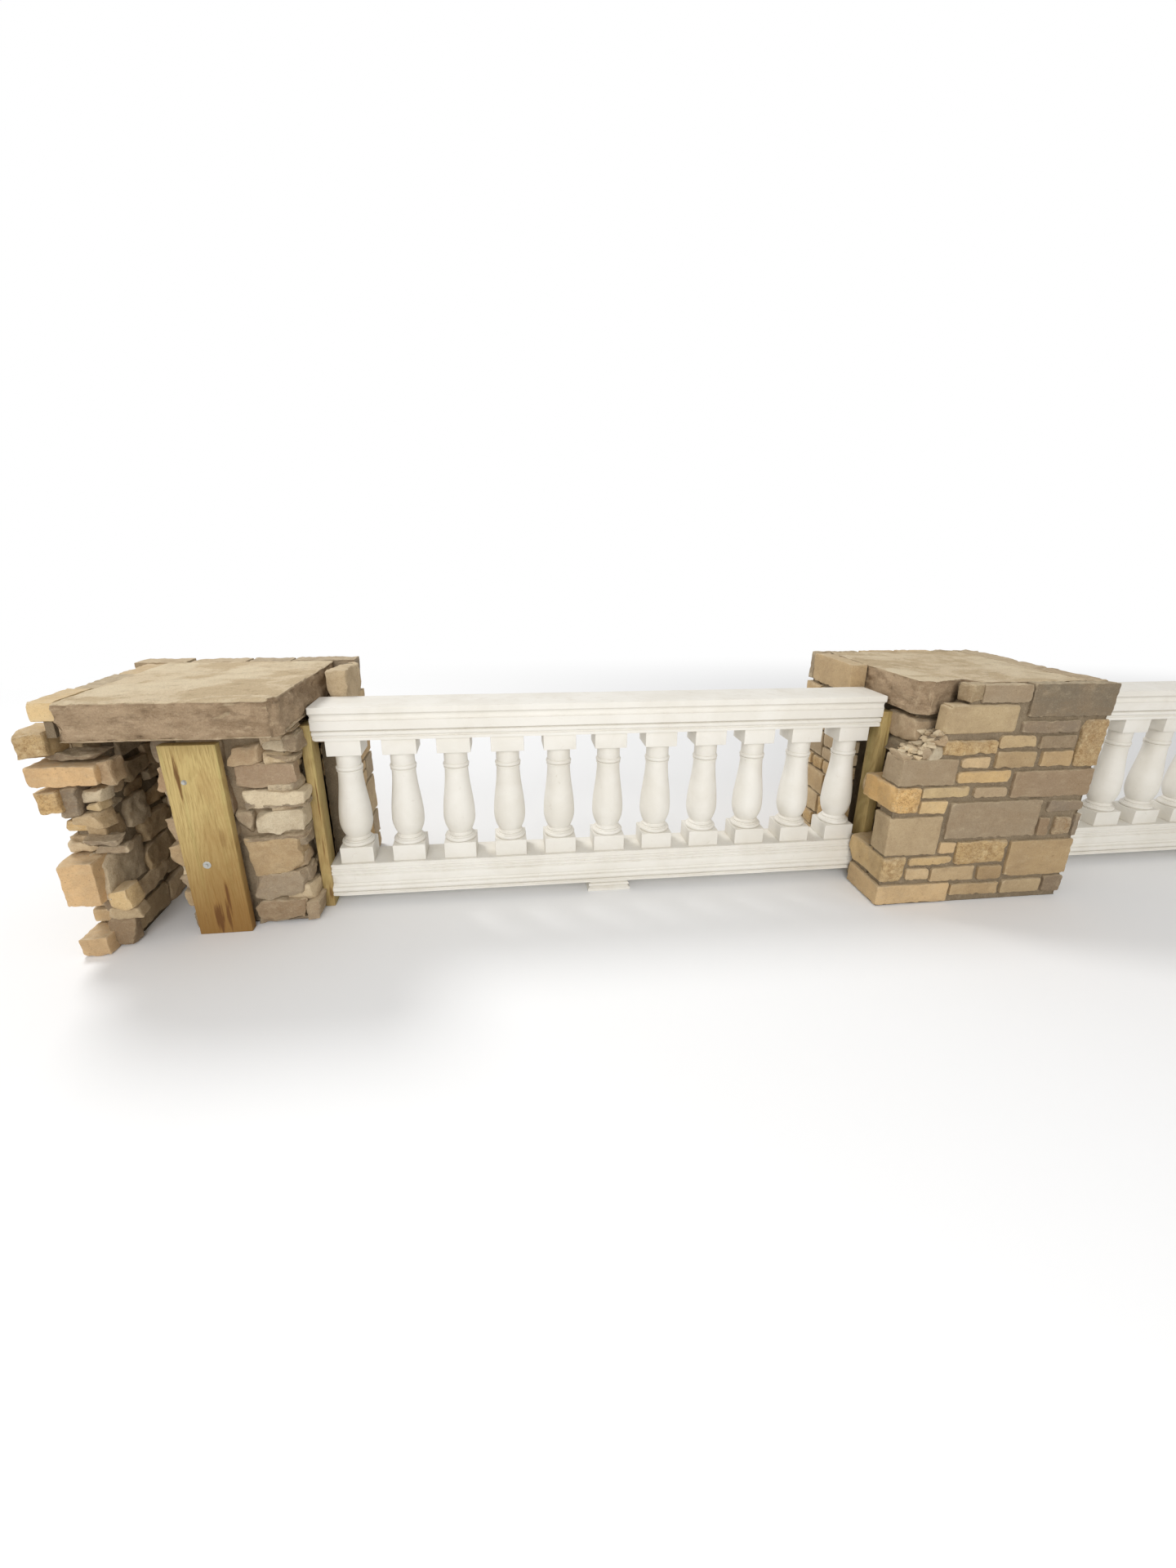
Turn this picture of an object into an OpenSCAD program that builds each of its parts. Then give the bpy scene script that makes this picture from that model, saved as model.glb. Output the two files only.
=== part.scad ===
// Stone balustrade in two bays between three masonry piers.
// X runs along the balustrade, Y away from its front, Z up from the paving.
// The left pier has lost its front facing and stands over a shoring plank,
// and the middle pier's upper left corner is broken away.

/* [Run] */
// Balusters in one bay
baluster_count = 11; // [8:1:13]
// Distance between the middles of neighbouring balusters
baluster_pitch = 203.2; // [180:0.2:230]
// How far the balusters stand in front of the piers' middle line
rail_forward = 72; // [40:1:100]

/* [Rails] */
// Width of the top rail over its upper fillet
top_rail_w = 188; // [170:1:208]
// Height of the top rail
top_rail_h = 131; // [116:1:146]
// Width of the bottom rail over its lower fillet
bottom_rail_w = 192; // [172:1:212]
// Height of the bottom rail
bottom_rail_h = 130; // [116:1:146]
// Height of the foot that carries the bottom rail in mid bay
foot_h = 46; // [36:1:60]
// Width of the foot along its lower fillet
foot_w = 180; // [160:1:200]

/* [Balusters] */
// Height of a baluster with its plinth and cap block
baluster_h = 510; // [450:1:570]
// Side of the square plinth and cap block
block_w = 127; // [114:1:140]
// Height of the plinth
plinth_h = 67; // [55:1:80]
// Height of the cap block
cap_block_h = 63; // [50:1:76]
// Diameter of the belly at its widest
belly_d = 127; // [112:1:140]
// Diameter of the narrow neck under the ring
neck_d = 92; // [80:1:102]

/* [Piers] */
// Height of a pier
pier_h = 911; // [820:1:1002]
// Width of a pier's core along the run
core_w = 635; // [570:1:700]
// Width of the left and right piers along the run
end_pier_w = 880; // [790:2:970]
// Width of the middle pier along the run
mid_pier_w = 830; // [750:2:914]
// Depth of every pier, front to back
pier_d = 830; // [750:2:914]
// Thickness of the stone facing on a pier's front and back
facing_t = 105; // [94:1:116]

/* [Cap slabs] */
// Length of a cap slab along the run
slab_w = 660; // [594:1:726]
// How much shallower a cap slab is than its pier
slab_less = 85; // [76:1:94]
// Thickness of a cap slab
slab_h = 132; // [110:1:146]
// How far the left pier's slab stands out in front of its facing
slab_out = 17; // [10:1:24]
// How far the other slabs stand back behind the facing
slab_back = 48; // [40:1:60]
// Gap between a slab and the end of a rail
slab_gap = 0.5; // [0.4:0.1:2]

/* [Timber] */
// Thickness of the sawn timber
timber_t = 38; // [34:1:42]
// Width of the timber post at a rail's end
post_w = 89; // [80:1:98]
// How far that post's middle stands in front of the pier's middle
post_forward = 116; // [104:1:120]
// Gap between a post's top and the slab's underside
post_gap = 28; // [10:1:60]
// Width of the shoring plank
plank_w = 184; // [165:1:203]
// Gap between the plank's top and the slab's underside
plank_gap = 45; // [10:1:60]

/* [Damage] */
// How far the left pier's bared core stands back from where its facing was
core_set = 35; // [30:1:40]
// Where the left pier's core ends towards its hollow left side
core_left = 140; // [126:1:154]
// Where the hollow beside that core ends towards the back
hollow_back = 110; // [99:1:121]
// How far the left pier's cap strip stands in from its left side
cap_inset = 60; // [54:1:66]
// Width of the cap block to the right of the left pier's slab
cap_block_w = 80; // [72:1:88]
// Gap between that block and the slab or the rail
cap_block_gap = 22; // [18:1:26]

/* [Hidden] */
// Depth of the rough hollows in a core's sides
rough = 22;
// Recess of the joints between a core's courses
joint_set = 10;
// Height of a joint between a core's courses
joint_h = 9;
// Steps in a small moulding arc, and in a long curve of the baluster
arc_steps = 6;
curve_steps = 12;
$fn = 64;

rail_l = baluster_count * baluster_pitch;
bay_pitch = rail_l + 2 * timber_t + core_w;
rail_y = -rail_forward;
bottom_rail_z = foot_h;
baluster_z = bottom_rail_z + bottom_rail_h;
top_rail_z = baluster_z + baluster_h;
slab_z = pier_h - slab_h;
slab_d = pier_d - slab_less;
core_x = core_w / 2;
core_y = pier_d / 2 - facing_t;
rail_end = core_x + timber_t;
rail_front = rail_y - bottom_rail_w / 2;
rail_back = rail_y + bottom_rail_w / 2;
end_x = end_pier_w / 2;
mid_x = mid_pier_w / 2;
face_y = pier_d / 2;
left_core_front = -core_y + core_set;

// Colours
CAST = [0.85, 0.83, 0.78];
STONE = [0.72, 0.60, 0.44];
CORE = [0.52, 0.45, 0.38];
SLAB = [0.62, 0.52, 0.42];
TIMBER = [0.70, 0.62, 0.36];

// Sum of a list
function sum_of(v, i = 0) = i == len(v) ? 0 : v[i] + sum_of(v, i + 1);

// A total shared out by parts: the start and the length of each
function share(total, parts, i = 0, at = 0) =
    i == len(parts) ? [] :
    concat([[at * total / sum_of(parts), parts[i] * total / sum_of(parts)]],
           share(total, parts, i + 1, at + parts[i]));

// A number from 0 to 1 that looks random but is always the same
function scatter(i) = let (v = 91.7 * sin(i * 127.1 + 31.7)) v - floor(v);

// Points on an arc about [x, z], from angle a to angle b
function arc(x, z, r, a, b, n = arc_steps) =
    [for (i = [0:n]) let (t = a + (b - a) * i / n) [x + r * cos(t), z + r * sin(t)]];

// A moulding's whole outline from that of its right half
function both(half) =
    concat(half, [for (i = [len(half) - 1:-1:0]) [-half[i][0], half[i][1]]]);

// Points given in percent of a width w and a height h, from a corner at [x, z]
function percent(points, w, h, x = 0, z = 0) =
    [for (p = points) [x + w * p[0] / 100, z + h * p[1] / 100]];

// Mouldings, from the middle line out, with steps in percent of the height

// Top rail: lower fillet, bead, flat band, hollow and upper fillet
function top_rail_half(w = top_rail_w / 2, h = top_rail_h, u = top_rail_h / 100) = concat(
    [[w - 15 * u, 0], [w - 15 * u, 8 * u], [w - 18 * u, 10 * u]],
    arc(w - 19 * u, 20.5 * u, 7.6 * u, -90, 90),
    [[w - 18 * u, 32 * u], [w - 8 * u, 32 * u], [w - 8 * u, h - 42 * u]],
    arc(w, h - 30.5 * u, 11.5 * u, 235, 125),
    [[w - 1.5 * u, h - 19 * u], [w, h - 17.5 * u]],
    arc(w - 3 * u, h - 3 * u, 3 * u, 0, 90, 3));

// Bottom rail: lower fillet, torus, hollow, swell, two beads and top fillet
function bottom_rail_half(w = bottom_rail_w / 2, h = bottom_rail_h, u = bottom_rail_h / 100) = concat(
    [[w, 0], [w, 7 * u], [w - 3 * u, 7.7 * u], [w - 3 * u, 10 * u]],
    arc(w - 10 * u, 20 * u, 9.2 * u, -80, 80),
    arc(w - 3 * u, 36 * u, 7 * u, 235, 125),
    [for (i = [0:4]) [w - 12.3 * u + 4.6 * u * cos(90 * i / 4), 44 * u + 18.5 * u * sin(90 * i / 4)]],
    [[w - 14 * u, h - 35.4 * u]],
    arc(w - 15.4 * u, h - 30 * u, 4.6 * u, -80, 80),
    arc(w - 16.2 * u, h - 18.5 * u, 4.6 * u, -80, 80),
    [[w - 17 * u, h - 7.7 * u], [w - 14.6 * u, h - 7 * u], [w - 14.6 * u, h]]);

// Foot: base fillet, bead and neck
function foot_half(w = foot_w / 2, h = foot_h, u = foot_h / 100) = concat(
    [[w, 0], [w, 22 * u], [w - 13 * u, 28 * u]],
    arc(w - 26 * u, 56 * u, 17 * u, -90, 90),
    [[w - 30 * u, h - 15 * u], [w - 26 * u, h - 13 * u], [w - 26 * u, h]]);

module bar(half, length) {
    rotate([90, 0, 90])
        linear_extrude(length, center = true)
            polygon(both(half));
}

module bottom_rail() {
    color(CAST)
        translate([0, rail_y, bottom_rail_z])
            bar(bottom_rail_half(), rail_l);
}

module top_rail() {
    color(CAST)
        translate([0, rail_y, top_rail_z])
            bar(top_rail_half(), rail_l);
}

// The foot's moulding runs round all four sides
module rail_foot() {
    color(CAST)
        translate([0, rail_y, 0])
            intersection() {
                bar(foot_half(), foot_w);
                rotate(90)
                    bar(foot_half(), foot_w);
            }
}

// Baluster, turned between a square plinth and a square cap block

turned_h = baluster_h - plinth_h - cap_block_h;
torus_h = 0.044 * turned_h;
waist_h = 0.09 * turned_h;
belly_h = 0.26 * turned_h;
ring_h = 0.80 * turned_h;
belly_r = belly_d / 2;
neck_r = neck_d / 2;
waist_r = neck_r - 0.005 * turned_h;

// Torus, fillet, waist, belly, long taper, neck ring and flare, in steps of a
// percent of the turned height
function turned_half(u = turned_h / 100) = concat(
    [[0, 0], [belly_r - torus_h / 2, 0]],
    arc(belly_r - torus_h / 2, torus_h / 2, torus_h / 2, -90, 90),
    [[belly_r - 2.4 * u, torus_h + 0.8 * u], [waist_r + 1.8 * u, torus_h + 1.3 * u]],
    arc(waist_r + 0.8 * u, waist_h - 2.4 * u, u, -60, 80, 4),
    [for (i = [0:curve_steps]) let (t = i / curve_steps)
        [waist_r + (belly_r - waist_r) * pow(sin(90 * t), 0.75),
         waist_h + (belly_h - waist_h) * t]],
    [for (i = [1:curve_steps]) let (t = i / curve_steps)
        [neck_r + (belly_r - neck_r) * (1 + cos(180 * t)) / 2,
         belly_h + (ring_h - belly_h) * t]],
    [[neck_r + 0.8 * u, ring_h + 0.5 * u], [neck_r + 0.8 * u, ring_h + 1.6 * u],
     [neck_r + 0.3 * u, ring_h + 1.9 * u]],
    arc(neck_r - 1.1 * u, ring_h + 4.2 * u, 2.4 * u, -70, 70),
    [[neck_r, ring_h + 7.1 * u]],
    [for (i = [0:4]) [neck_r + 1.3 * u * (1 - cos(90 * i / 4)),
                      turned_h - 3.7 * u * (1 - sin(90 * i / 4))]],
    [[0, turned_h]]);

module block(h) {
    translate([-block_w / 2, -block_w / 2, 0])
        cube([block_w, block_w, h]);
}

module baluster() {
    block(plinth_h);
    translate([0, 0, plinth_h])
        rotate_extrude()
            polygon(turned_half());
    translate([0, 0, baluster_h - cap_block_h])
        block(cap_block_h);
}

module baluster_row(first = 0, last = baluster_count - 1) {
    color(CAST)
        for (i = [first:last])
            translate([(i - (baluster_count - 1) / 2) * baluster_pitch, rail_y, baluster_z])
                baluster();
}

// What of a bay reaches into the pier at its left end or at its right end
module bay_from_left() {
    translate([bay_pitch / 2, 0, 0]) {
        bottom_rail();
        top_rail();
        baluster_row(0, 0);
    }
}

module bay_from_right() {
    mirror([1, 0, 0])
        bay_from_left();
}

// Timber post against a rail's end
module end_post(side) {
    post_h = slab_z - post_gap;
    color(TIMBER)
        translate([side * (rail_l + timber_t) / 2, -post_forward, post_h / 2])
            cube([timber_t, post_w, post_h], center = true);
}

// Masonry

// Depth of a hollow in a course's side: none at the second point, which bears
// on the neighbouring piece
function hollow(seed, i) = i == 1 ? 0 : rough * scatter(seed + i);

// Inward directions of a course's front, right, back and left
INWARD = [[0, 1], [-1, 0], [0, -1], [1, 0]];

// One course with uneven sides: corners low and high, n points to a side
module course(low, high, h, seed, n = 4) {
    corners = [low, [high[0], low[1]], high, [low[0], high[1]]];
    linear_extrude(h)
        polygon([for (k = [0:3]) for (i = [0:n - 1])
            corners[k] + (corners[(k + 1) % 4] - corners[k]) * i / n
            + INWARD[k] * hollow(seed + 9 * k, i)
            + INWARD[(k + 3) % 4] * (i == 0 ? hollow(seed + 9 * k + 5, i) : 0)]);
}

// Relative heights of a core's courses, from the ground up
COURSES = [9, 13, 16, 10, 7, 13, 9];

// Courses one on another up to the slab, with open joints between them
module courses(low, high, seed, last_joint = 0) {
    for (i = [0:len(COURSES) - 1]) {
        band = share(slab_z, COURSES)[i];
        translate([0, 0, band[0]])
            course(low, high, band[1] - (i == len(COURSES) - 1 ? last_joint : joint_h),
                   seed + 7 * i);
    }
}

// Rubble in courses over a mortar heart that fills the joints
module rubble(low, high, seed) {
    inset = [rough + joint_set, rough + joint_set];
    color(CORE) {
        translate(low + inset)
            linear_extrude(slab_z)
                square(high - low - 2 * inset);
        courses(low, high, seed);
    }
}

module whole_core(seed) {
    rubble([-core_x, -core_y], [core_x, core_y], seed);
}

// Block of facing from low to high, from the ground up
module panel(low, high, z = 0, h = pier_h) {
    translate([low[0], low[1], z])
        cube([high[0] - low[0], high[1] - low[1], h]);
}

// Facing from low to high, cut to fit round the children
module facing(low, high) {
    color(STONE)
        difference() {
            panel(low, high);
            children();
        }
}

// Outline in X and Z, made d deep towards the back from y
module front_shape(points, y, d) {
    translate([0, y + d, 0])
        rotate([90, 0, 0])
            linear_extrude(d)
                polygon(points);
}

// Outline in Y and Z, made w wide towards +X from x
module side_shape(points, x, w) {
    translate([x, 0, 0])
        rotate([90, 0, 90])
            linear_extrude(w)
                polygon(points);
}

// Cap slab of an outline in percent of its length and depth
module slab(outline, left, front) {
    color(SLAB)
        translate([0, 0, slab_z])
            linear_extrude(slab_h)
                polygon(percent(outline, slab_w, slab_d, left, front));
}

// Middle pier

// Cap slab with its front left corner broken off
MID_SLAB = [[0, 100], [-0.9, 49], [0, 8], [3.3, 0.3], [15, 5.4], [29.5, 8.6],
            [34, 0], [100, 0], [100, 100]];

module mid_slab() {
    slab(MID_SLAB, core_x - slab_gap - slab_w, -face_y + slab_back);
}

// The break in the front facing: percent of half the pier's width, left of its
// middle, and of its height, down from its top
FRONT_BREAK = [[-49, 0], [-47, -5], [-39, -8], [-32, -8.6], [-63, -8.6], [-67, -11],
               [-68, -16.5], [-65, -20], [-70, -21.5], [-78, -25], [-77, -26],
               [-83, -28], [-95, -29], [-100, -33]];

module mid_front_facing() {
    outline = concat([[-mid_x, 0], [mid_x, 0], [mid_x, pier_h]],
                     percent(FRONT_BREAK, mid_x, pier_h, 0, pier_h));
    color(STONE)
        difference() {
            front_shape(outline, -face_y, facing_t);
            mid_slab();
        }
}

module mid_back_facing() {
    facing([-mid_x, core_y], [mid_x, face_y])
        mid_slab();
}

// Stumps of the left facing in front of the rails: percent of the way from the
// front facing to the rails, and of the pier's height
LOW_STUMP = [[0, 0], [100, 0], [100, 21.5], [76, 23.7], [0, 25]];
HIGH_STUMP = [[0, 44.3], [79, 44.3], [73, 51.6], [55, 55.8], [0, 57.1]];

// Facing of the left side: whole behind the rails, stumps in front of them
module mid_left_facing() {
    facing([-mid_x, rail_back], [-core_x, core_y])
        mid_slab();
    color(STONE)
        for (stump = [LOW_STUMP, HIGH_STUMP])
            side_shape(percent(stump, rail_front + core_y, pier_h, -core_y),
                       -mid_x, mid_x - core_x);
}

module mid_right_facing() {
    facing([core_x, -core_y], [mid_x, core_y]) {
        mid_slab();
        bay_from_left();
    }
}

// Right pier

SQUARE_SLAB = [[0, 0], [100, 0], [100, 100], [0, 100]];

module right_slab() {
    slab(SQUARE_SLAB, slab_gap - rail_end, -face_y + slab_back);
}

module right_front_facing() {
    facing([-end_x, -face_y], [end_x, -core_y])
        right_slab();
}

module right_back_facing() {
    facing([-end_x, core_y], [end_x, face_y])
        right_slab();
}

module right_left_facing() {
    facing([-end_x, -core_y], [-core_x, core_y]) {
        right_slab();
        bay_from_right();
    }
}

// The right facing's top laps over the core up to the slab
module right_right_facing() {
    color(STONE)
        difference() {
            union() {
                panel([core_x, -core_y], [end_x, core_y]);
                panel([0, -core_y], [end_x, core_y], slab_z, slab_h);
            }
            right_slab();
        }
}

// Left pier

// Cap slab with a weathered right edge
LEFT_SLAB = [[0, 100], [0, 0], [96, 0], [98.8, 2], [99.1, 43], [100, 64], [100, 100]];

module left_slab() {
    slab(LEFT_SLAB, rail_end - slab_gap - slab_w, -face_y - slab_out);
}

// The core is bare in front, and hollow at the left in front of its back
module left_core() {
    rubble([-core_left, left_core_front], [core_x, core_y], 57);
    rubble([-end_x + facing_t, hollow_back], [-core_left + 2 * rough, core_y], 83);
}

// Quoins that are left of the front facing: bottom and height in percent of the
// pier's height, return and setback in percent of the facing's thickness
LEFT_QUOINS = [[0, 7.2, 95, 0], [22.2, 18, 107, 0], [40.2, 5.7, 95, 82],
               [52.2, 6.6, 114, 67], [58.8, 9.5, 74, 0], [69.8, 7.9, 196, 0],
               [79.5, 11.1, 55, 0]];

module left_front_quoins() {
    color(STONE)
        for (q = LEFT_QUOINS)
            panel([-end_x, -face_y + facing_t * q[3] / 100],
                  [-end_x + facing_t * q[2] / 100, -core_y],
                  pier_h * q[0] / 100, pier_h * q[1] / 100);
}

// Left facing with rough tails towards the hollow, and the cap strip on it
module left_left_facing() {
    color(STONE) {
        panel([-end_x, -core_y], [-end_x + facing_t, core_y], 0, slab_z);
        courses([-end_x + rough, -core_y + rough],
                [-end_x + facing_t + 2 * rough, hollow_back], 211, joint_h);
        difference() {
            panel([-end_x + cap_inset, -face_y], [-end_x + facing_t + 2 * rough, core_y],
                  slab_z, slab_h);
            left_slab();
        }
    }
}

// Right facing behind the rails, and the cap block that lies on it
module left_right_facing() {
    block_x = rail_end - slab_gap + cap_block_gap;
    color(STONE) {
        panel([core_x, rail_back], [end_x, core_y], 0, slab_z);
        panel([block_x, rail_back + cap_block_gap], [block_x + cap_block_w, core_y],
              slab_z, slab_h);
    }
}

module left_back_facing() {
    facing([-end_x, core_y], [end_x, face_y])
        left_slab();
}

module shoring_plank() {
    color(TIMBER)
        translate([-plank_w / 2, left_core_front - timber_t, 0])
            cube([plank_w, timber_t, slab_z - plank_gap]);
}

module at_pier(i) {
    translate([i * bay_pitch, 0, 0])
        children();
}

module at_bay(i) {
    translate([(i - 0.5) * bay_pitch, 0, 0])
        children();
}

at_pier(-1) left_core();  // left_pier_core
at_pier(-1) left_slab();  // left_pier_slab
at_pier(-1) left_front_quoins();  // left_pier_quoins
at_pier(-1) left_left_facing();  // left_pier_left_facing
at_pier(-1) left_right_facing();  // left_pier_right_facing
at_pier(-1) left_back_facing();  // left_pier_back_facing
at_pier(-1) shoring_plank();
at_bay(0) bottom_rail();  // bottom_rail_1
at_bay(0) baluster_row();  // balusters_1
at_bay(0) top_rail();  // top_rail_1
at_bay(0) rail_foot();  // rail_foot_1
at_bay(0) end_post(-1);  // end_post_left
at_bay(0) end_post(1);  // end_post_right
at_pier(0) whole_core(3);  // mid_pier_core
at_pier(0) mid_slab();  // mid_pier_slab
at_pier(0) mid_front_facing();  // mid_pier_front_facing
at_pier(0) mid_left_facing();  // mid_pier_left_facing
at_pier(0) mid_right_facing();  // mid_pier_right_facing
at_pier(0) mid_back_facing();  // mid_pier_back_facing
at_bay(1) bottom_rail();  // bottom_rail_2
at_bay(1) baluster_row();  // balusters_2
at_bay(1) top_rail();  // top_rail_2
at_bay(1) rail_foot();  // rail_foot_2
at_pier(1) whole_core(131);  // right_pier_core
at_pier(1) right_slab();  // right_pier_slab
at_pier(1) right_front_facing();  // right_pier_front_facing
at_pier(1) right_left_facing();  // right_pier_left_facing
at_pier(1) right_right_facing();  // right_pier_right_facing
at_pier(1) right_back_facing();  // right_pier_back_facing
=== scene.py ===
# Stone balustrade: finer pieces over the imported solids, with their materials,
# light, floor and camera. Lengths are in metres in the row's frame: X along the
# balustrade, Y away from its front, Z up from the paving.

import math
from collections import namedtuple
from itertools import product

import bpy
import numpy as np
from mathutils import Matrix, Vector


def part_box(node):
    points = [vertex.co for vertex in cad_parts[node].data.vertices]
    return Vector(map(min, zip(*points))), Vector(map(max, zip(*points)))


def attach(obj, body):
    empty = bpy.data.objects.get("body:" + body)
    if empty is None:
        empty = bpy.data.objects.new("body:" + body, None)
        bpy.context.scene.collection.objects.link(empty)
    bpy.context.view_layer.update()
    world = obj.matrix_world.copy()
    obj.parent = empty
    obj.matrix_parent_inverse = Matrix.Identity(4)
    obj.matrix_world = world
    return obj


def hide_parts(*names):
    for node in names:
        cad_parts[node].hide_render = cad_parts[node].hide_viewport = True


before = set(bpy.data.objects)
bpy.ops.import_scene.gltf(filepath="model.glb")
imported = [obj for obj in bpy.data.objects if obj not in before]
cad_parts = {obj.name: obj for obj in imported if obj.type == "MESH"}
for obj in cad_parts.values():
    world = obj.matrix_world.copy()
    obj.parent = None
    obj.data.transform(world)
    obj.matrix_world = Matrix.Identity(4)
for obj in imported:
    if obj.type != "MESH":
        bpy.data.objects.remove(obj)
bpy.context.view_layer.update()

# Sizes that follow the solids

PIER_X = (-2.9462, 0.0, 2.9462)
HALF_X = (0.440, 0.415, 0.440)
HALF_Y = 0.415
PIER_H = 0.911
SLAB_Z = 0.779
CORE_X = 0.3175
CORE_Y = 0.310
BARE_CORE_Y = 0.275
FACING_T = 0.105
BAY_X = (-1.4731, 1.4731)
RAIL_L = 2.2352
RAIL_Y = -0.072
RAIL_FRONT = -0.168
RAIL_BACK = 0.024
TOP_RAIL_Z = 0.686
BOTTOM_RAIL_Z = 0.046
BALUSTER_Z = 0.176
BALUSTERS = 11
PITCH = 0.2032

# Numbers of the piers and of their faces
LEFT_PIER, MIDDLE_PIER, RIGHT_PIER = 0, 1, 2
FRONT, RIGHT, BACK, LEFT = 0, 1, 2, 3

# Colours of the stones as sRGB values
ASH = (0.53, 0.462, 0.38)
DOVE = (0.575, 0.50, 0.40)
GREY = (0.645, 0.568, 0.46)
SAND = (0.655, 0.56, 0.42)
BUFF = (0.70, 0.607, 0.46)
TAN = (0.74, 0.638, 0.488)
STRAW = (0.785, 0.675, 0.495)
GOLD = (0.79, 0.655, 0.45)
HONEY = (0.81, 0.67, 0.49)
BROWN = (0.495, 0.437, 0.355)
PALE = (0.80, 0.73, 0.61)
RUBBLE = (0.66, 0.575, 0.465)
PINK = (0.65, 0.55, 0.44)
DARK = (0.54, 0.47, 0.385)
MORTAR = (0.55, 0.49, 0.40)
LIME = (0.61, 0.54, 0.44)
# Lighter than the stones' own tone: painted light for the shade in the left pier's hollow
CHALK_PAINTED_LIGHT = (0.80, 0.71, 0.575)


def linear(colour):
    """An sRGB colour as linear values."""
    return tuple(c / 12.92 if c < 0.04045 else ((c + 0.055) / 1.055) ** 2.4 for c in colour)


# Noise


def scatter(ix, iy, iz, seed):
    """A number from 0 to 1 for every lattice point, always the same."""
    n = (ix * 374761393 + iy * 668265263 + iz * 1274126177 + seed * 974711) & 0xFFFFFFFF
    n = ((n ^ (n >> 13)) * 1103515245) & 0xFFFFFFFF
    n = ((n ^ (n >> 16)) * 1220703125) & 0xFFFFFFFF
    return ((n ^ (n >> 15)) & 0xFFFFFF) / 0xFFFFFF


def noise(p, size, seed=0):
    """Smooth noise from -1 to 1 at points p, with features of that size."""
    q = np.asarray(p, float) / size
    i = np.floor(q).astype(np.int64)
    f = q - i
    f = f * f * (3 - 2 * f)
    sides = (1 - f, f)
    total = 0
    for dx, dy, dz in product((0, 1), repeat=3):
        weight = sides[dx][:, 0] * sides[dy][:, 1] * sides[dz][:, 2]
        total = total + weight * scatter(i[:, 0] + dx, i[:, 1] + dy, i[:, 2] + dz, seed)
    return 2 * total - 1


def layered(p, size, seed=0, octaves=3):
    """Noise in several sizes, each half as large and half as strong as the last."""
    total = 0
    for k in range(octaves):
        total = total + noise(p, size / 2**k, seed + 101 * k) / 2**k
    return total / (2 - 2 ** (1 - octaves))


def shake(p, size, seed):
    """A noise vector for each point."""
    return np.stack([layered(p, size, seed + 17 * k, 2) for k in range(3)], 1)


def fade(distance, reach):
    """From 1 at no distance to 0 at the reach and past it."""
    return np.clip(1 - distance / reach, 0, 1)


# Collecting and making pieces


class Bag:
    """Vertices, faces, tones and material slots of one piece."""

    def __init__(self):
        self.points = []
        self.faces = []
        self.tones = []
        self.rough = []
        self.slots = []
        self.count = 0

    def add(self, points, faces, tone=(1, 1, 1), rough=0.0, slot=0):
        for group in faces:
            rows = (np.asarray(group) + self.count).tolist()
            self.faces.extend(rows)
            self.slots.extend([slot] * len(rows))
        self.points.append(points)
        shade = np.ones((len(points), 4))
        shade[:, :3] = tone
        self.tones.append(shade)
        self.rough.append(np.full(len(points), rough))
        self.count += len(points)


def make(name, bag, materials, node=None, crease=35.0):
    """One piece from what a bag holds; it stands for the node, if there is one."""
    mesh = bpy.data.meshes.new(name)
    mesh.from_pydata(np.concatenate(bag.points).tolist(), [], bag.faces)
    mesh.polygons.foreach_set("material_index", bag.slots)
    tone = mesh.attributes.new("tone", "FLOAT_COLOR", "POINT")
    tone.data.foreach_set("color", np.concatenate(bag.tones).ravel())
    rough = mesh.attributes.new("rough", "FLOAT", "POINT")
    rough.data.foreach_set("value", np.concatenate(bag.rough))
    for material in materials:
        mesh.materials.append(material)
    mesh.shade_smooth()
    mesh.set_sharp_from_angle(angle=math.radians(crease))
    mesh.update()
    piece = bpy.data.objects.new(name, mesh)
    bpy.context.scene.collection.objects.link(piece)
    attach(piece, "root")
    if node:
        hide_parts(node)


def marks(length, edge, step):
    """Places of the grid lines along a side: close together at its ends."""
    near = [0, 0.35 * edge, edge] if edge < 0.006 else [0, 0.15 * edge, 0.38 * edge, 0.66 * edge, edge]
    n = max(1, round((length - 2 * edge) / step))
    inner = np.linspace(edge, length - edge, n + 1)[1:-1]
    return np.concatenate([near, inner, [length - x for x in reversed(near)]])


def shell(us, ds, zs, closed):
    """A grid over a box's front and sides, and over its back if it is closed."""
    nu, nz = len(us), len(zs)
    index = np.arange(nu * nz).reshape(nu, nz)
    grid_u, grid_z = np.meshgrid(us, zs, indexing="ij")
    flat = np.stack([grid_u.ravel(), np.zeros(nu * nz), grid_z.ravel()], 1)
    cells = np.stack([index[:-1, :-1], index[1:, :-1], index[1:, 1:], index[:-1, 1:]], -1).reshape(-1, 4)
    loop = np.concatenate([index[:-1, 0], index[-1, :-1], index[:0:-1, -1], index[0, :0:-1]])
    points = [flat]
    quads = [cells]
    count = nu * nz
    ring = loop
    for k, d in enumerate(ds[1:]):
        if closed and k == len(ds) - 2:
            layer = flat.copy()
            new = loop + count
            quads.append((cells + count)[:, ::-1])
        else:
            layer = flat[loop].copy()
            new = np.arange(len(loop)) + count
        layer[:, 1] = d
        points.append(layer)
        count += len(layer)
        quads.append(np.stack([ring, new, np.roll(new, -1), np.roll(ring, -1)], 1))
        ring = new
    faces = [np.concatenate(quads)]
    if not closed:
        faces.append([list(reversed(ring.tolist()))])
    return np.concatenate(points), faces


def rounded(p, size, edge):
    """Points on a box from the origin to size, with its edges rounded."""
    inner = np.clip(p, edge, size - edge)
    out = p - inner
    return inner + out * (edge / np.maximum(np.linalg.norm(out, axis=1, keepdims=True), 1e-9))


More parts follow.
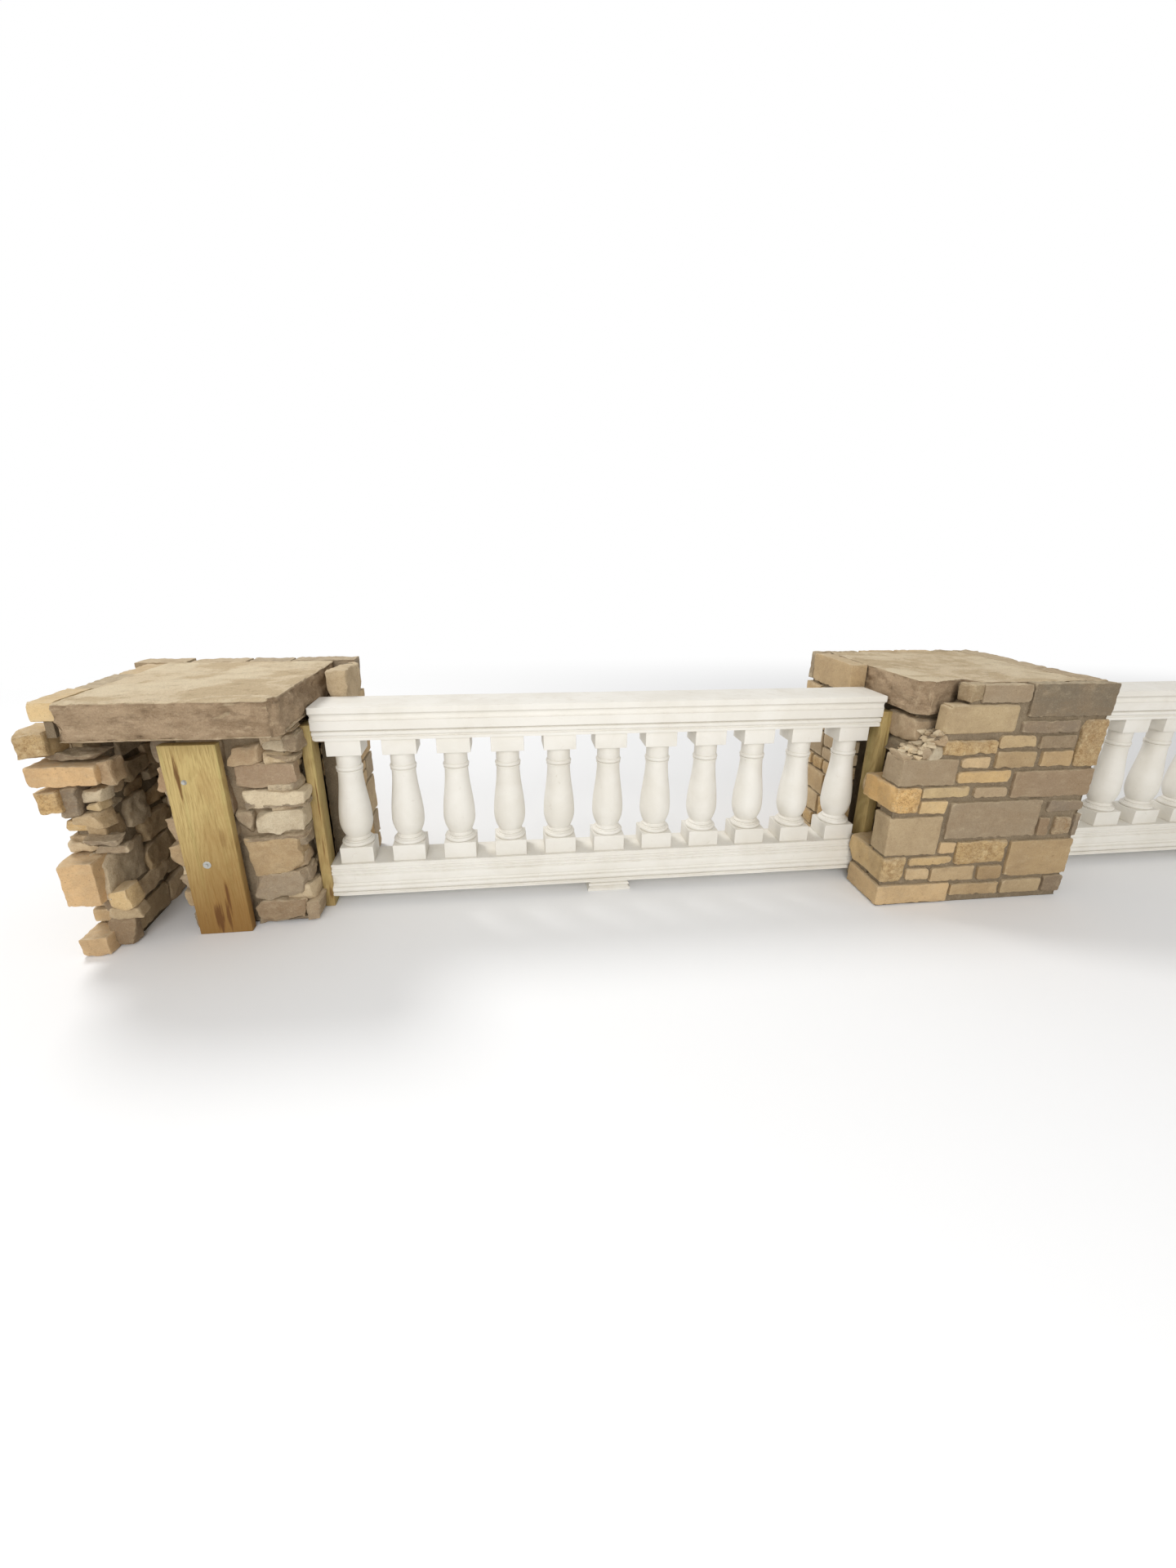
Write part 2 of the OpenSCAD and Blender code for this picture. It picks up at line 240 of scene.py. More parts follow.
def wound(count, rings, inward=False, ends=True):
    """Faces of a tube of so many rings of count points, with its two ends."""
    index = np.arange(count * rings).reshape(rings, count)
    if not ends:
        index = np.concatenate([index, index[:1]])
    after = np.roll(index, -1, axis=1)
    quads = np.stack([index[:-1], after[:-1], after[1:], index[1:]], -1).reshape(-1, 4)
    if not ends:
        return [quads]
    first, last = index[0].tolist(), index[-1].tolist()
    if inward:
        return [quads[:, [0, 3, 2, 1]], [first], [last[::-1]]]
    return [quads, [first[::-1]], [last]]


def lathed(line, sides):
    """An outline of (radius, height) turned: places across, across and along its axis."""
    turns = np.linspace(0, 2 * math.pi, sides, endpoint=False)
    r, h = np.array(line).T[:, :, None]
    return r * np.cos(turns), r * np.sin(turns), h + 0 * turns


def eased_block(low, high, edge, step, seed, amp=0.0):
    """A block with rounded edges and faces that aren't quite flat."""
    size = np.subtract(high, low)
    p, faces = shell(*(marks(length, edge, step) for length in size), True)
    p = rounded(p, size, edge)
    p += shake(p + seed, 0.09, seed) * amp
    return p + np.asarray(low), faces


# Stones

# How a stone is worked: the radius of its edges and of its face's corners, how far its
# outline, its face and its arrises stray, how many facets it has, and how rough it shows
Style = namedtuple("Style", "edge corner wave bulge coarse fine ragged facets rough")
SAWN = Style(0.0018, 0.005, 0.0016, 0.0004, 0.0009, 0.0005, 0.0042, 0, 0.1)
PILL = Style(0.0022, 0.013, 0.0022, 0.0006, 0.0012, 0.0006, 0.0036, 0, 0.3)
SPLIT = Style(0.0032, 0.008, 0.0030, 0.0050, 0.0058, 0.0034, 0.0038, 2, 1.0)
LUMP = Style(0.0032, 0.007, 0.0050, 0.0016, 0.0074, 0.0046, 0.0036, 8, 0.62)
SHARD = Style(0.0022, 0.004, 0.0030, 0.0010, 0.0052, 0.0032, 0.0024, 14, 0.6)
WORN = Style(0.0110, 0.016, 0.0020, 0.0006, 0.0014, 0.0008, 0.0014, 0, 0.2)

# The axis of each side that may show, and whether it is that axis's far side
SIDES = {"l": (0, False), "r": (0, True), "b": (1, True), "t": (2, True), "u": (2, False)}
# How far in from a face its relief fades, and from an arris its torn edge
RELIEF_DEPTH = 0.03
TORN_WIDTH = 0.007
TORN_DEPTH = 0.02


def relief(base, size, a, b, style, seed):
    """How far a face across the axes a and b stands out."""
    p = np.stack([base[:, a], 1.6 * base[:, b], np.full(len(base), seed * 0.37)], 1)
    middle = np.maximum(*(abs(2 * base[:, k] / size[k] - 1) for k in (a, b)))
    return (
        style.bulge * (np.clip(1 - middle**4, 0, 1) - 0.35)
        + style.coarse * layered(p, 0.07, seed, 3)
        + style.fine * layered(p, 0.022, seed + 7, 2)
    )


def stone_form(size, style, seed, step, shows, corners):
    """One stone from the origin to size, in (u, d, z), with its outer face at d = 0.

    One that shows no side is left square behind, and corners moves its front's corners.
    """
    edge = min(style.edge, 0.22 * size.min())
    corner = min(style.corner, 0.45 * min(size[0], size[2]))
    us, zs = (marks(size[k], edge, step) for k in (0, 2))
    if shows:
        ds = marks(size[1], edge, 1.6 * step)
    else:
        ds = np.array([0, 0.35 * edge, edge, min(0.02, 0.5 * size[1]), size[1]])
    base, faces = shell(us, ds, zs, False)
    p = rounded(base, size + np.array([0, 0 if shows else 1, 0]), edge)
    plan = p[:, [0, 2]]
    centre = np.clip(plan, corner, size[[0, 2]] - corner)
    out = plan - centre
    length = np.maximum(np.linalg.norm(out, axis=1), 1e-9)
    p[:, [0, 2]] = centre + out * (np.abs(out).max(1) / length)[:, None]
    share = base / size
    for axis, other, reach, first in ((0, 2, 0.06, 1), (2, 0, 0.08, 3)):
        along = np.stack([base[:, other], base[:, 1] * 0.5, np.zeros(len(p))], 1)
        low, high = (layered(along, reach, seed + first + k) for k in (0, 1))
        p[:, axis] += style.wave * ((1 - share[:, axis]) * low + share[:, axis] * high)
    lean = np.random.default_rng(seed).uniform(-1, 1, (4, 2)) * style.wave * 1.6 + corners
    s, t = share[:, 0], share[:, 2]
    p[:, [0, 2]] += np.stack([(1 - s) * (1 - t), s * (1 - t), s * t, (1 - s) * t], 1) @ lean
    p[:, 1] -= fade(base[:, 1], RELIEF_DEPTH) * relief(base, size, 0, 2, style, seed)
    for side in shows:
        axis, far = SIDES[side]
        depth = size[axis] - base[:, axis] if far else base[:, axis]
        a, b = [k for k in range(3) if k != axis]
        lift = relief(base, size, a, b, SAWN if style is SPLIT else style, seed + 31)
        p[:, axis] += (1 if far else -1) * fade(depth, RELIEF_DEPTH) * lift
    rng = np.random.default_rng(seed + 9)
    for _ in range(style.facets):
        n = rng.normal(size=3)
        n[1] = n[1] - 0.4 if shows else -abs(n[1])
        n /= np.linalg.norm(n)
        reach = (p - size / 2) @ n
        over = np.clip(reach - reach.max() * rng.uniform(0.80, 0.95), 0, None)
        p -= np.outer(over * 0.85, n)
    torn = np.clip(noise(base + seed, 0.013, seed + 61) + 0.25, 0, 1.25) * style.ragged
    torn += np.clip(noise(base + seed, 0.040, seed + 62) - 0.45, 0, 1) * 2.5 * style.ragged
    front = fade(base[:, 1], TORN_DEPTH)
    for axis, strength in ((2, 0.7), (0, 0.42)):
        to_low = base[:, axis]
        to_high = size[axis] - base[:, axis]
        near = fade(np.minimum(to_low, to_high), TORN_WIDTH)
        p[:, axis] += np.where(to_low < to_high, 1, -1) * near * torn * strength
        p[:, 1] += near * front * torn * strength
    if shows:
        p += shake(base + seed, 0.05, seed + 80) * style.coarse * 0.45
    return p, faces


def turned(quarters):
    """A turn about the vertical, in quarter turns."""
    angle = math.radians(90 * quarters)
    return np.array(
        [[math.cos(angle), -math.sin(angle), 0], [math.sin(angle), math.cos(angle), 0], [0, 0, 1]]
    )


def vary(colour, rng):
    """A colour a little lighter or darker, warmer or cooler, as linear values."""
    light = 1 + rng.uniform(-0.07, 0.07)
    warm = rng.uniform(-0.018, 0.018)
    return linear([min(0.97, max(0.02, c * light + w)) for c, w in zip(colour, (warm, 0, -warm))])


def jitter(seed, reach):
    """How far the four corners of a stone's front lie out of square."""
    return np.random.default_rng(seed).uniform(-reach, reach, (4, 2))


def split_run(low, high, rng, least, most):
    """A length cut into pieces of uneven length."""
    length = high - low
    n = max(1, round(length / rng.uniform(least, most)))
    parts = rng.uniform(0.7, 1.35, n)
    ends = low + length * np.concatenate([[0], np.cumsum(parts)]) / parts.sum()
    return list(zip(ends[:-1], ends[1:]))


# Joints between the stones of the random courses
JOINT = 0.009
# Heights at which the courses change round each pier
BREAKS = (
    (0.0, 0.070, 0.196, 0.371, 0.480, 0.628, 0.715, 0.776),
    (0.0, 0.098, 0.270, 0.382, 0.446, 0.571, 0.774),
    (0.0, 0.105, 0.250, 0.350, 0.470, 0.620, 0.774),
)


def bands(pier):
    """The bottom and top of each of a pier's bands of stones."""
    return enumerate(zip(BREAKS[pier][:-1], BREAKS[pier][1:]))


def corner_lengths(pier, corner, band):
    """How far a corner stone reaches along the two faces that meet there."""
    rng = np.random.default_rng(1000 * pier + 50 * corner + band)
    long, short = rng.uniform(0.22, 0.33), rng.uniform(0.115, 0.15)
    return (long, short) if (band + corner) % 2 else (short, long)


class Wall:
    """An upright plane of a pier that stones are laid on, and the bag that they go into.

    It looks to the front, right, back or left, and lies out from the pier's middle line.
    A place on it is (u, d, z): along it, into it and up.
    """

    def __init__(self, pier, face, out=None, bag=None):
        across = face in (FRONT, BACK)
        self.pier = pier
        self.face = face
        self.half = HALF_X[pier] if across else HALF_Y
        self.out = (HALF_Y if across else HALF_X[pier]) if out is None else out
        self.bag = bag or Bag()

    def lay(self, low, high, colour, style, seed, step, shows="", corners=0.0):
        """One stone from low to high, on a grid of that step."""
        p, faces = stone_form(np.subtract(high, low), style, seed, step, shows, corners)
        placed = (p + np.asarray(low) - np.array([0, self.out, 0])) @ turned(self.face).T
        placed += np.array([PIER_X[self.pier], 0, 0])
        placed[:, 2] = np.clip(placed[:, 2], 0.0, PIER_H)
        rough = np.clip(1.6 - p[:, 1] / 0.018, 0.12, 1) if style is SPLIT else style.rough
        self.bag.add(placed, faces, vary(colour, np.random.default_rng(seed + 5)), rough)

    def fill(self, depth, u0, u1, z0, z1, seed, step):
        """Courses of sawn and split stones over a rectangle."""
        rng = np.random.default_rng(seed)
        room = z1 - z0
        if u1 - u0 < 0.03:
            return
        if room > 0.155:
            rows = split_run(z0, z1, rng, 0.07, 0.12)
        elif room > 0.095 and rng.uniform() < 0.6:
            cut = z0 + room * rng.uniform(0.40, 0.62)
            rows = [(z0, cut), (cut, z1)]
        else:
            rows = [(z0, z1)]
        for bottom, top in rows:
            tall = top - bottom
            for left, right in split_run(u0, u1, rng, max(0.09, tall * 1.2), max(0.17, tall * 2.6)):
                pick = rng.uniform()
                colour, style = (GOLD, SPLIT) if pick < 0.30 else (TAN if pick < 0.65 else GREY, SAWN)
                if right - left < 0.03:
                    continue
                low = (left + JOINT / 2, 0, bottom + JOINT / 2)
                high = (right - JOINT / 2, depth, top - JOINT / 2)
                self.lay(low, high, colour, style, int(rng.integers(1 << 30)), step)

    def courses(self, depth, seed, step=0.019, start=None, end=None, gap=()):
        """Stones band by band, beside a gap and from corner stone to corner stone.

        A start or end gives the place for a band where no corner stone is.
        """
        before = (self.face + 3) % 4
        for band, (z0, z1) in bands(self.pier):
            left = start(band) if start else corner_lengths(self.pier, before, band)[1] - self.half
            right = end(band) if end else self.half - corner_lengths(self.pier, self.face, band)[0]
            edges = [left, *gap, right]
            for u0, u1 in zip(edges[::2], edges[1::2]):
                self.fill(depth, u0, u1, z0, z1, seed + 10 * band + self.face, step)

    def corner_stones(self, step=0.017):
        """Stones at both ends, each of which shows on this face and on its neighbour."""
        for face in ((self.face + 3) % 4, self.face):
            wall = Wall(self.pier, face, bag=self.bag)
            for band, (z0, z1) in bands(self.pier):
                along, inward = corner_lengths(self.pier, face, band)
                rng = np.random.default_rng(77 + 1000 * self.pier + 50 * face + band)
                colour, style = ((GOLD, SPLIT), (TAN, SAWN), (GREY, SAWN))[rng.integers(3)]
                low = (wall.half - along + JOINT / 2, 0, z0 + JOINT / 2)
                high = (wall.half, inward - JOINT / 2, z1 - JOINT / 2)
                wall.lay(low, high, colour, style, int(rng.integers(1 << 30)), step, "r")

    def cap(self, depth, u0, u1, seed):
        """The top course beside a slab."""
        rng = np.random.default_rng(seed)
        for left, right in split_run(u0, u1, rng, 0.20, 0.34):
            colour = (ASH, GREY, TAN)[rng.integers(3)]
            low = (left + JOINT / 2, 0, SLAB_Z + 0.004)
            high = (right - JOINT / 2, depth, PIER_H - 0.002)
            self.lay(low, high, colour, SAWN, int(rng.integers(1 << 30)), 0.014, "t")

    def rubble(self, u0, u1, z0, z1, depth, seed, step):
        """Rough stones in uneven courses over a rectangle, some set back."""
        rng = np.random.default_rng(seed)
        for bottom, top in split_run(z0, z1, rng, 0.055, 0.105):
            for left, right in split_run(u0, u1, rng, 0.10, 0.22):
                drop = rng.uniform(0, 0.014)
                colour = (RUBBLE, PALE, TAN, DARK)[rng.integers(4)]
                low = (left + 0.006, rng.uniform(0, 0.022), bottom + 0.005)
                high = (right - 0.006, depth, top - 0.005 - drop)
                corners = rng.uniform(-0.010, 0.010, (4, 2))
                self.lay(low, high, colour, LUMP, int(rng.integers(1 << 30)), step, corners=corners)


# Bodies of mortar and slabs from the solids' own meshes


def coordinates(vertices, name="co"):
    """One vector of each vertex."""
    values = np.zeros(len(vertices) * 3, np.float32)
    vertices.foreach_get(name, values)
    return values.reshape(-1, 3).astype(float)


def remeshed(node, size):
    """A CAD node's form in even cells: its points, normals and faces."""
    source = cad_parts[node].data
    mesh = bpy.data.meshes.new("scratch")
    mesh.from_pydata(coordinates(source.vertices).tolist(), [], [list(f.vertices) for f in source.polygons])
    thing = bpy.data.objects.new("scratch", mesh)
    bpy.context.scene.collection.objects.link(thing)
    change = thing.modifiers.new("even", "REMESH")
    change.mode = "VOXEL"
    change.voxel_size = size
    seen = thing.evaluated_get(bpy.context.evaluated_depsgraph_get())
    fine = seen.to_mesh()
    p = coordinates(fine.vertices)
    n = coordinates(fine.vertices, "normal")
    quads = [list(f.vertices) for f in fine.polygons]
    seen.to_mesh_clear()
    bpy.data.objects.remove(thing)
    bpy.data.meshes.remove(mesh)
    return p, n, quads


def heart(bag, node, seed, size, set_back, amp, colour, end=None):
    """The mortar of a piece: its solid drawn in on all sides but its foot, and roughened.

    An end is a band of height, bottom and top, with the leftmost place of the mortar in it.
    """
    p, n, quads = remeshed(node, size)
    standing = np.clip(p[:, 2] / 0.03, 0, 1)
    inward = n * np.array([1, 1, 0.6])
    p -= inward * (set_back * np.stack([standing * 0 + 1, standing * 0 + 1, standing], 1))
    p += n * (amp * layered(p, 0.05, seed, 3))[:, None]
    p[:, 2] = np.clip(p[:, 2], 0.0, PIER_H - 0.002)
    if end is not None:
        bottom, top, leftmost = end
        inside = (p[:, 2] > bottom) & (p[:, 2] < top)
        p[:, 0] = np.where(inside, np.maximum(p[:, 0], leftmost), p[:, 0])
    bag.add(p, [quads], linear(colour), 1.0, 1)


# Materials


def put(tree, kind, inputs, **settings):
    """A node with its settings, and its inputs given as values or as other nodes' outputs."""
    node = tree.nodes.new(kind)
    for name, value in settings.items():
        setattr(node, name, value)
    feed(tree, node, inputs)
    return node


def feed(tree, node, inputs):
    for name, value in inputs.items():
        if isinstance(value, bpy.types.NodeSocket):
            tree.links.new(value, node.inputs[name])
        else:
            node.inputs[name].default_value = value


class Look:
    """A material, its shader, and the colour that is built up for it."""

    def __init__(self, name):
        self.material = bpy.data.materials.new(name)
        self.material.use_nodes = True
        self.tree = self.material.node_tree
        self.shader = self.tree.nodes["Principled BSDF"]
        self.where = put(self.tree, "ShaderNodeTexCoord", {}).outputs["Object"]
        self.stretched = {}
        self.colour = None

    def speckle(self, scale, detail, roughness, distortion=0.0, stretch=(1, 1, 1)):
        """Noise from 0 to 1 over the object."""
        if stretch not in self.stretched:
            inputs = {"Vector": self.where, "Scale": stretch}
            self.stretched[stretch] = put(self.tree, "ShaderNodeMapping", inputs).outputs[0]
        inputs = {"Vector": self.stretched[stretch], "Scale": scale, "Detail": detail}
        inputs.update({"Roughness": roughness, "Distortion": distortion})
        return put(self.tree, "ShaderNodeTexNoise", inputs).outputs["Fac"]

    def ramp(self, value, low, high, to_low=0.0, to_high=1.0):
        """A value from low to high turned smoothly into one from to_low to to_high."""
        inputs = {"Value": value, "From Min": low, "From Max": high, "To Min": to_low, "To Max": to_high}
        node = put(self.tree, "ShaderNodeMapRange", inputs, interpolation_type="SMOOTHSTEP")
        return node.outputs["Result"]

    def maths(self, operation, a, b=0.5):
        return put(self.tree, "ShaderNodeMath", {0: a, 1: b}, operation=operation).outputs[0]

    def times(self, a, b):
        return self.maths("MULTIPLY", a, b)

    def plus(self, a, b):
        return self.maths("ADD", a, b)

    def mix(self, share, a, b):
        """Two colours mixed, each an sRGB colour or another node's output."""
        a, b = (v if isinstance(v, bpy.types.NodeSocket) else (*linear(v), 1) for v in (a, b))
        return put(self.tree, "ShaderNodeMix", {0: share, 6: a, 7: b}, data_type="RGBA").outputs[2]

    def tint(self, colour, share, *span):
        """Lay a colour over what is there, by a share or by its ramp over a span."""
        if span:
            share = self.ramp(share, *span)
        self.colour = self.mix(share, self.colour, colour)

    def surface(self):
        """How far the surface faces up, and how far it stands out."""
        geometry = put(self.tree, "ShaderNodeNewGeometry", {})
        parts = put(self.tree, "ShaderNodeSeparateXYZ", {0: geometry.outputs["Normal"]})
        return parts.outputs[2], geometry.outputs["Pointiness"]

    def own(self, name, output):
        """A value that the piece's points carry."""
        return put(self.tree, "ShaderNodeAttribute", {}, attribute_name=name).outputs[output]

    def finish(self, roughness, height, strength, distance, specular=0.5):
        """The material, with its colour and its bump on the shader."""
        inputs = {"Height": height, "Strength": strength, "Distance": distance}
        bump = put(self.tree, "ShaderNodeBump", inputs).outputs[0]
        inputs = {"Base Color": self.colour, "Roughness": roughness, "Specular IOR Level": specular}
        feed(self.tree, self.shader, {**inputs, "Normal": bump})
        return self.material


def facing_stone():
    """Limestone whose tone and roughness each stone carries."""
    look = Look("facing_stone")
    split = look.own("rough", "Fac")
    up, point = look.surface()
    clouds = look.speckle(9, 4, 0.66)
    stains = look.speckle(21, 5, 0.74, stretch=(1, 1, 1.8))
    patches = look.speckle(38, 5.5, 0.78)
    grains = look.speckle(240, 3, 0.72)
    mottled = look.maths("POWER", split, 2.5)
    look.colour = look.own("tone", "Color")
    look.tint((0.57, 0.48, 0.37), clouds, 0.36, 0.68, 0.0, 0.38)
    look.tint((0.82, 0.75, 0.62), stains, 0.48, 0.72, 0.0, 0.17)
    look.tint((0.52, 0.43, 0.32), stains, 0.30, 0.46, 0.26, 0.0)
    look.tint((0.56, 0.42, 0.25), look.times(look.ramp(patches, 0.49, 0.62, 0.0, 0.48), mottled))
    look.tint((0.86, 0.78, 0.62), look.times(look.ramp(patches, 0.36, 0.47, 0.40, 0.0), mottled))
    ridge = look.maths("ABSOLUTE", look.maths("SUBTRACT", stains, 0.5))
    look.tint((0.42, 0.29, 0.16), look.times(look.ramp(ridge, 0.0, 0.022, 0.60, 0.0), mottled))
    look.tint((0.43, 0.34, 0.23), look.speckle(64, 3, 0.65), 0.66, 0.74, 0.0, 0.45)
    look.tint((0.40, 0.32, 0.23), grains, 0.30, 0.47, 0.28, 0.0)
    look.tint((0.90, 0.84, 0.72), grains, 0.54, 0.70, 0.0, 0.11)
    # Painted shade: darker where the surface curves in, in creases and hollows
    look.tint((0.36, 0.29, 0.21), point, 0.42, 0.495, 0.50, 0.0)
    # Lighter on the edges that stand out, in patches: partly worn arrises, partly a painted highlight
    worn_and_highlit = look.times(look.ramp(point, 0.51, 0.60, 0.0, 0.5), look.ramp(patches, 0.40, 0.56))
    look.tint((0.87, 0.80, 0.67), worn_and_highlit)
    dust = look.times(look.ramp(up, 0.35, 0.85, 0.0, 0.7), look.ramp(patches, 0.35, 0.6, 1.0, 0.4))
    look.tint((0.80, 0.73, 0.61), dust)
    height = look.plus(look.times(grains, 0.5), look.times(stains, 1.1))
    height = look.plus(height, look.times(patches, look.times(split, 3.4)))
    height = look.plus(height, look.ramp(look.speckle(85, 2, 0.65), 0.22, 0.38, 0.0, 0.55))
    return look.finish(0.92, height, 0.75, 0.0034, 0.25)


def mortar():
    """Grey brown lime mortar with sand and lime specks."""
    look = Look("mortar")
    look.colour = look.own("tone", "Color")
    look.tint((0.46, 0.40, 0.32), look.speckle(14, 4, 0.7), 0.3, 0.7, 0.0, 0.55)
    look.tint((0.70, 0.63, 0.53), look.speckle(36, 5, 0.75), 0.53, 0.66, 0.0, 0.32)
    look.tint((0.74, 0.68, 0.58), look.speckle(230, 2, 0.7), 0.58, 0.70, 0.0, 0.34)
    look.tint((0.35, 0.29, 0.22), look.speckle(310, 2, 0.6), 0.30, 0.44, 0.5, 0.0)
    return look.finish(0.95, look.speckle(95, 4, 0.8), 0.9, 0.006, 0.2)


def slab_stone():
    """Weathered slab: brown split sides in thin beds, and a dusty bleached top."""
    look = Look("slab_stone")
    beds = (1, 1, 2.6)
    up, point = look.surface()
    clouds = look.ramp(look.speckle(5, 6, 0.72, stretch=beds), 0.36, 0.64)
    look.colour = look.mix(clouds, (0.57, 0.48, 0.375), (0.70, 0.605, 0.49))
    look.tint((0.76, 0.67, 0.55), look.speckle(13, 5, 0.76, stretch=beds), 0.53, 0.68, 0.0, 0.55)
    look.tint((0.44, 0.36, 0.27), look.speckle(8, 5, 0.75, stretch=beds), 0.52, 0.66, 0.0, 0.45)
    side = look.colour
    flakes = look.ramp(look.speckle(6, 6, 0.66, 0.3), 0.44, 0.56)
    look.colour = look.mix(flakes, (0.77, 0.685, 0.55), (0.84, 0.765, 0.64))
    look.tint((0.62, 0.53, 0.41), look.speckle(19, 5, 0.76), 0.50, 0.68, 0.0, 0.5)
    look.tint((0.88, 0.82, 0.70), look.speckle(3.0, 5, 0.66), 0.47, 0.62, 0.0, 0.6)
    look.colour = look.mix(look.ramp(up, 0.55, 0.90), side, look.colour)
    grains = look.speckle(190, 4, 0.78)
    look.tint((0.38, 0.31, 0.23), grains, 0.32, 0.48, 0.36, 0.0)
    look.tint((0.90, 0.84, 0.73), grains, 0.54, 0.70, 0.0, 0.25)
    # Painted shade: darker where the surface curves in, in creases and hollows
    look.tint((0.36, 0.29, 0.21), point, 0.40, 0.49, 0.5, 0.0)
    # Lighter on the edges that stand out: partly worn arrises, partly a painted highlight
    look.tint((0.84, 0.77, 0.64), point, 0.515, 0.60, 0.0, 0.45)
    height = look.plus(grains, look.times(look.speckle(26, 6, 0.8, stretch=(1, 1, 1.6)), 2.6))
    return look.finish(0.93, look.plus(height, look.times(flakes, 0.6)), 0.75, 0.0045, 0.25)


def cast_stone():
    """Off-white cast stone, a little dusty on its ledges."""
    look = Look("cast_stone")
    up, _ = look.surface()
    clouds = look.speckle(5, 5, 0.6, 0.4)
    look.colour = look.mix(look.ramp(clouds, 0.3, 0.7), (0.865, 0.845, 0.80), (0.90, 0.885, 0.85))
    look.tint((0.76, 0.72, 0.65), look.speckle(33, 5, 0.65, 0.8), 0.64, 0.74, 0.0, 0.35)
    patches = look.ramp(look.speckle(17, 5, 0.7), 0.50, 0.72, 0.0, 0.20)
    look.tint((0.72, 0.66, 0.57), look.times(look.ramp(up, 0.25, 0.8), patches))
    look.tint((0.62, 0.57, 0.50), look.speckle(230, 3, 0.6), 0.25, 0.33, 0.22, 0.0)
    height = look.plus(look.speckle(140, 4, 0.6), look.speckle(24, 3, 0.5))
    return look.finish(look.ramp(clouds, 0.2, 0.8, 0.48, 0.62), height, 0.25, 0.0010)


def timber(name, light, dark, heart_x, streaks, stained):
    """Treated softwood: arched grain about heart_x, and resin streaks.

    A streak is (x, z, half its width, half its height, strength); stained is how much
    browner the foot is.
    """
    look = Look(name)
    parts = put(look.tree, "ShaderNodeSeparateXYZ", {0: look.where})
    wander = look.speckle(2.4, 4, 0.55, stretch=(3, 3, 0.8))
    off = look.maths("SUBTRACT", parts.outputs[0], heart_x)
    arch = look.plus(look.times(look.times(off, off), 52.0), look.times(parts.outputs[2], 0.42))
    arch = look.plus(arch, look.times(wander, 0.55))
    bands_of_grain = look.maths("SINE", look.times(arch, 84.0))
    fibre = look.speckle(6, 6, 0.75, stretch=(60, 60, 2.0))
    threads = look.speckle(5, 3, 0.6, stretch=(30, 30, 2.0))
    look.colour = look.mix(look.ramp(bands_of_grain, -0.6, 1.0, 0.0, 0.40), light, dark)
    look.tint((0.66, 0.62, 0.39), look.speckle(1.6, 5, 0.6, 0.6, (14, 14, 0.7)), 0.48, 0.68, 0.0, 0.45)
    look.tint((0.64, 0.51, 0.32), look.speckle(8, 6, 0.65, stretch=(1, 1, 0.7)), 0.50, 0.68, 0.0, 0.40)
    look.tint((0.48, 0.38, 0.20), fibre, 0.32, 0.52, 0.62, 0.0)
    if stained:
        level = look.plus(parts.outputs[2], look.times(wander, 0.35))
        look.tint((0.50, 0.345, 0.145), level, 0.16, 0.76, stained, 0.0)
    for x, z, wide, high, strength in streaks:
        centred = {"Location": (-x / wide, 0, -z / high), "Scale": (1 / wide, 0, 1 / high)}
        centred["Vector"] = look.where
        spot = {"Vector": put(look.tree, "ShaderNodeMapping", centred).outputs[0]}
        near = put(look.tree, "ShaderNodeTexGradient", spot, gradient_type="SPHERICAL").outputs[1]
        look.tint((0.58, 0.42, 0.21), near, 0.0, 0.8, 0.0, 0.6 * strength)
        torn = look.plus(look.plus(near, look.times(fibre, 0.4)), look.times(threads, 1.3))
        look.tint((0.35, 0.21, 0.09), torn, 1.10, 1.50, 0.0, 0.95 * strength)
    return look.finish(0.80, look.plus(fibre, look.times(bands_of_grain, 0.1)), 0.4, 0.0012, 0.3)


def zinc():
    """Dull galvanised steel."""
    look = Look("zinc")
    shade = look.speckle(300, 3, 0.6)
    colour = look.mix(shade, (0.62, 0.62, 0.60), (0.78, 0.78, 0.76))
    roughness = look.ramp(shade, 0.3, 0.7, 0.38, 0.55)
    feed(look.tree, look.shader, {"Base Color": colour, "Metallic": 0.7, "Roughness": roughness})
    return look.material


STONE = facing_stone()
BED = mortar()
SLAB = slab_stone()
CAST = cast_stone()
PLANK_STREAKS = (
    (-2.993, 0.620, 0.011, 0.130, 0.85),
    (-2.915, 0.150, 0.011, 0.110, 0.85),
    (-2.958, 0.070, 0.024, 0.110, 0.85),
    (-2.925, 0.075, 0.011, 0.100, 0.8),
    (-2.892, 0.385, 0.020, 0.060, 0.25),
)
PLANK = timber("plank_timber", (0.755, 0.665, 0.445), (0.655, 0.555, 0.345), -2.943, PLANK_STREAKS, 0.86)
POST_STREAKS = (
    (-2.598, 0.46, 0.004, 0.120, 0.8),
    (-2.603, 0.26, 0.005, 0.090, 0.5),
    (-2.600, 0.06, 0.010, 0.050, 0.6),
    (-0.330, 0.62, 0.006, 0.120, 0.4),
)
POST = timber("post_timber", (0.705, 0.615, 0.41), (0.58, 0.485, 0.295), -2.60, POST_STREAKS, 0.0)
ZINC = zinc()

# Cast stone: rails, foot and balusters


def arc(x, z, r, a, b, n=12):
    """Points on an arc about (x, z), from angle a to angle b in degrees."""
    turn = [math.radians(a + (b - a) * i / n) for i in range(n + 1)]
    return [(x + r * math.cos(t), z + r * math.sin(t)) for t in turn]


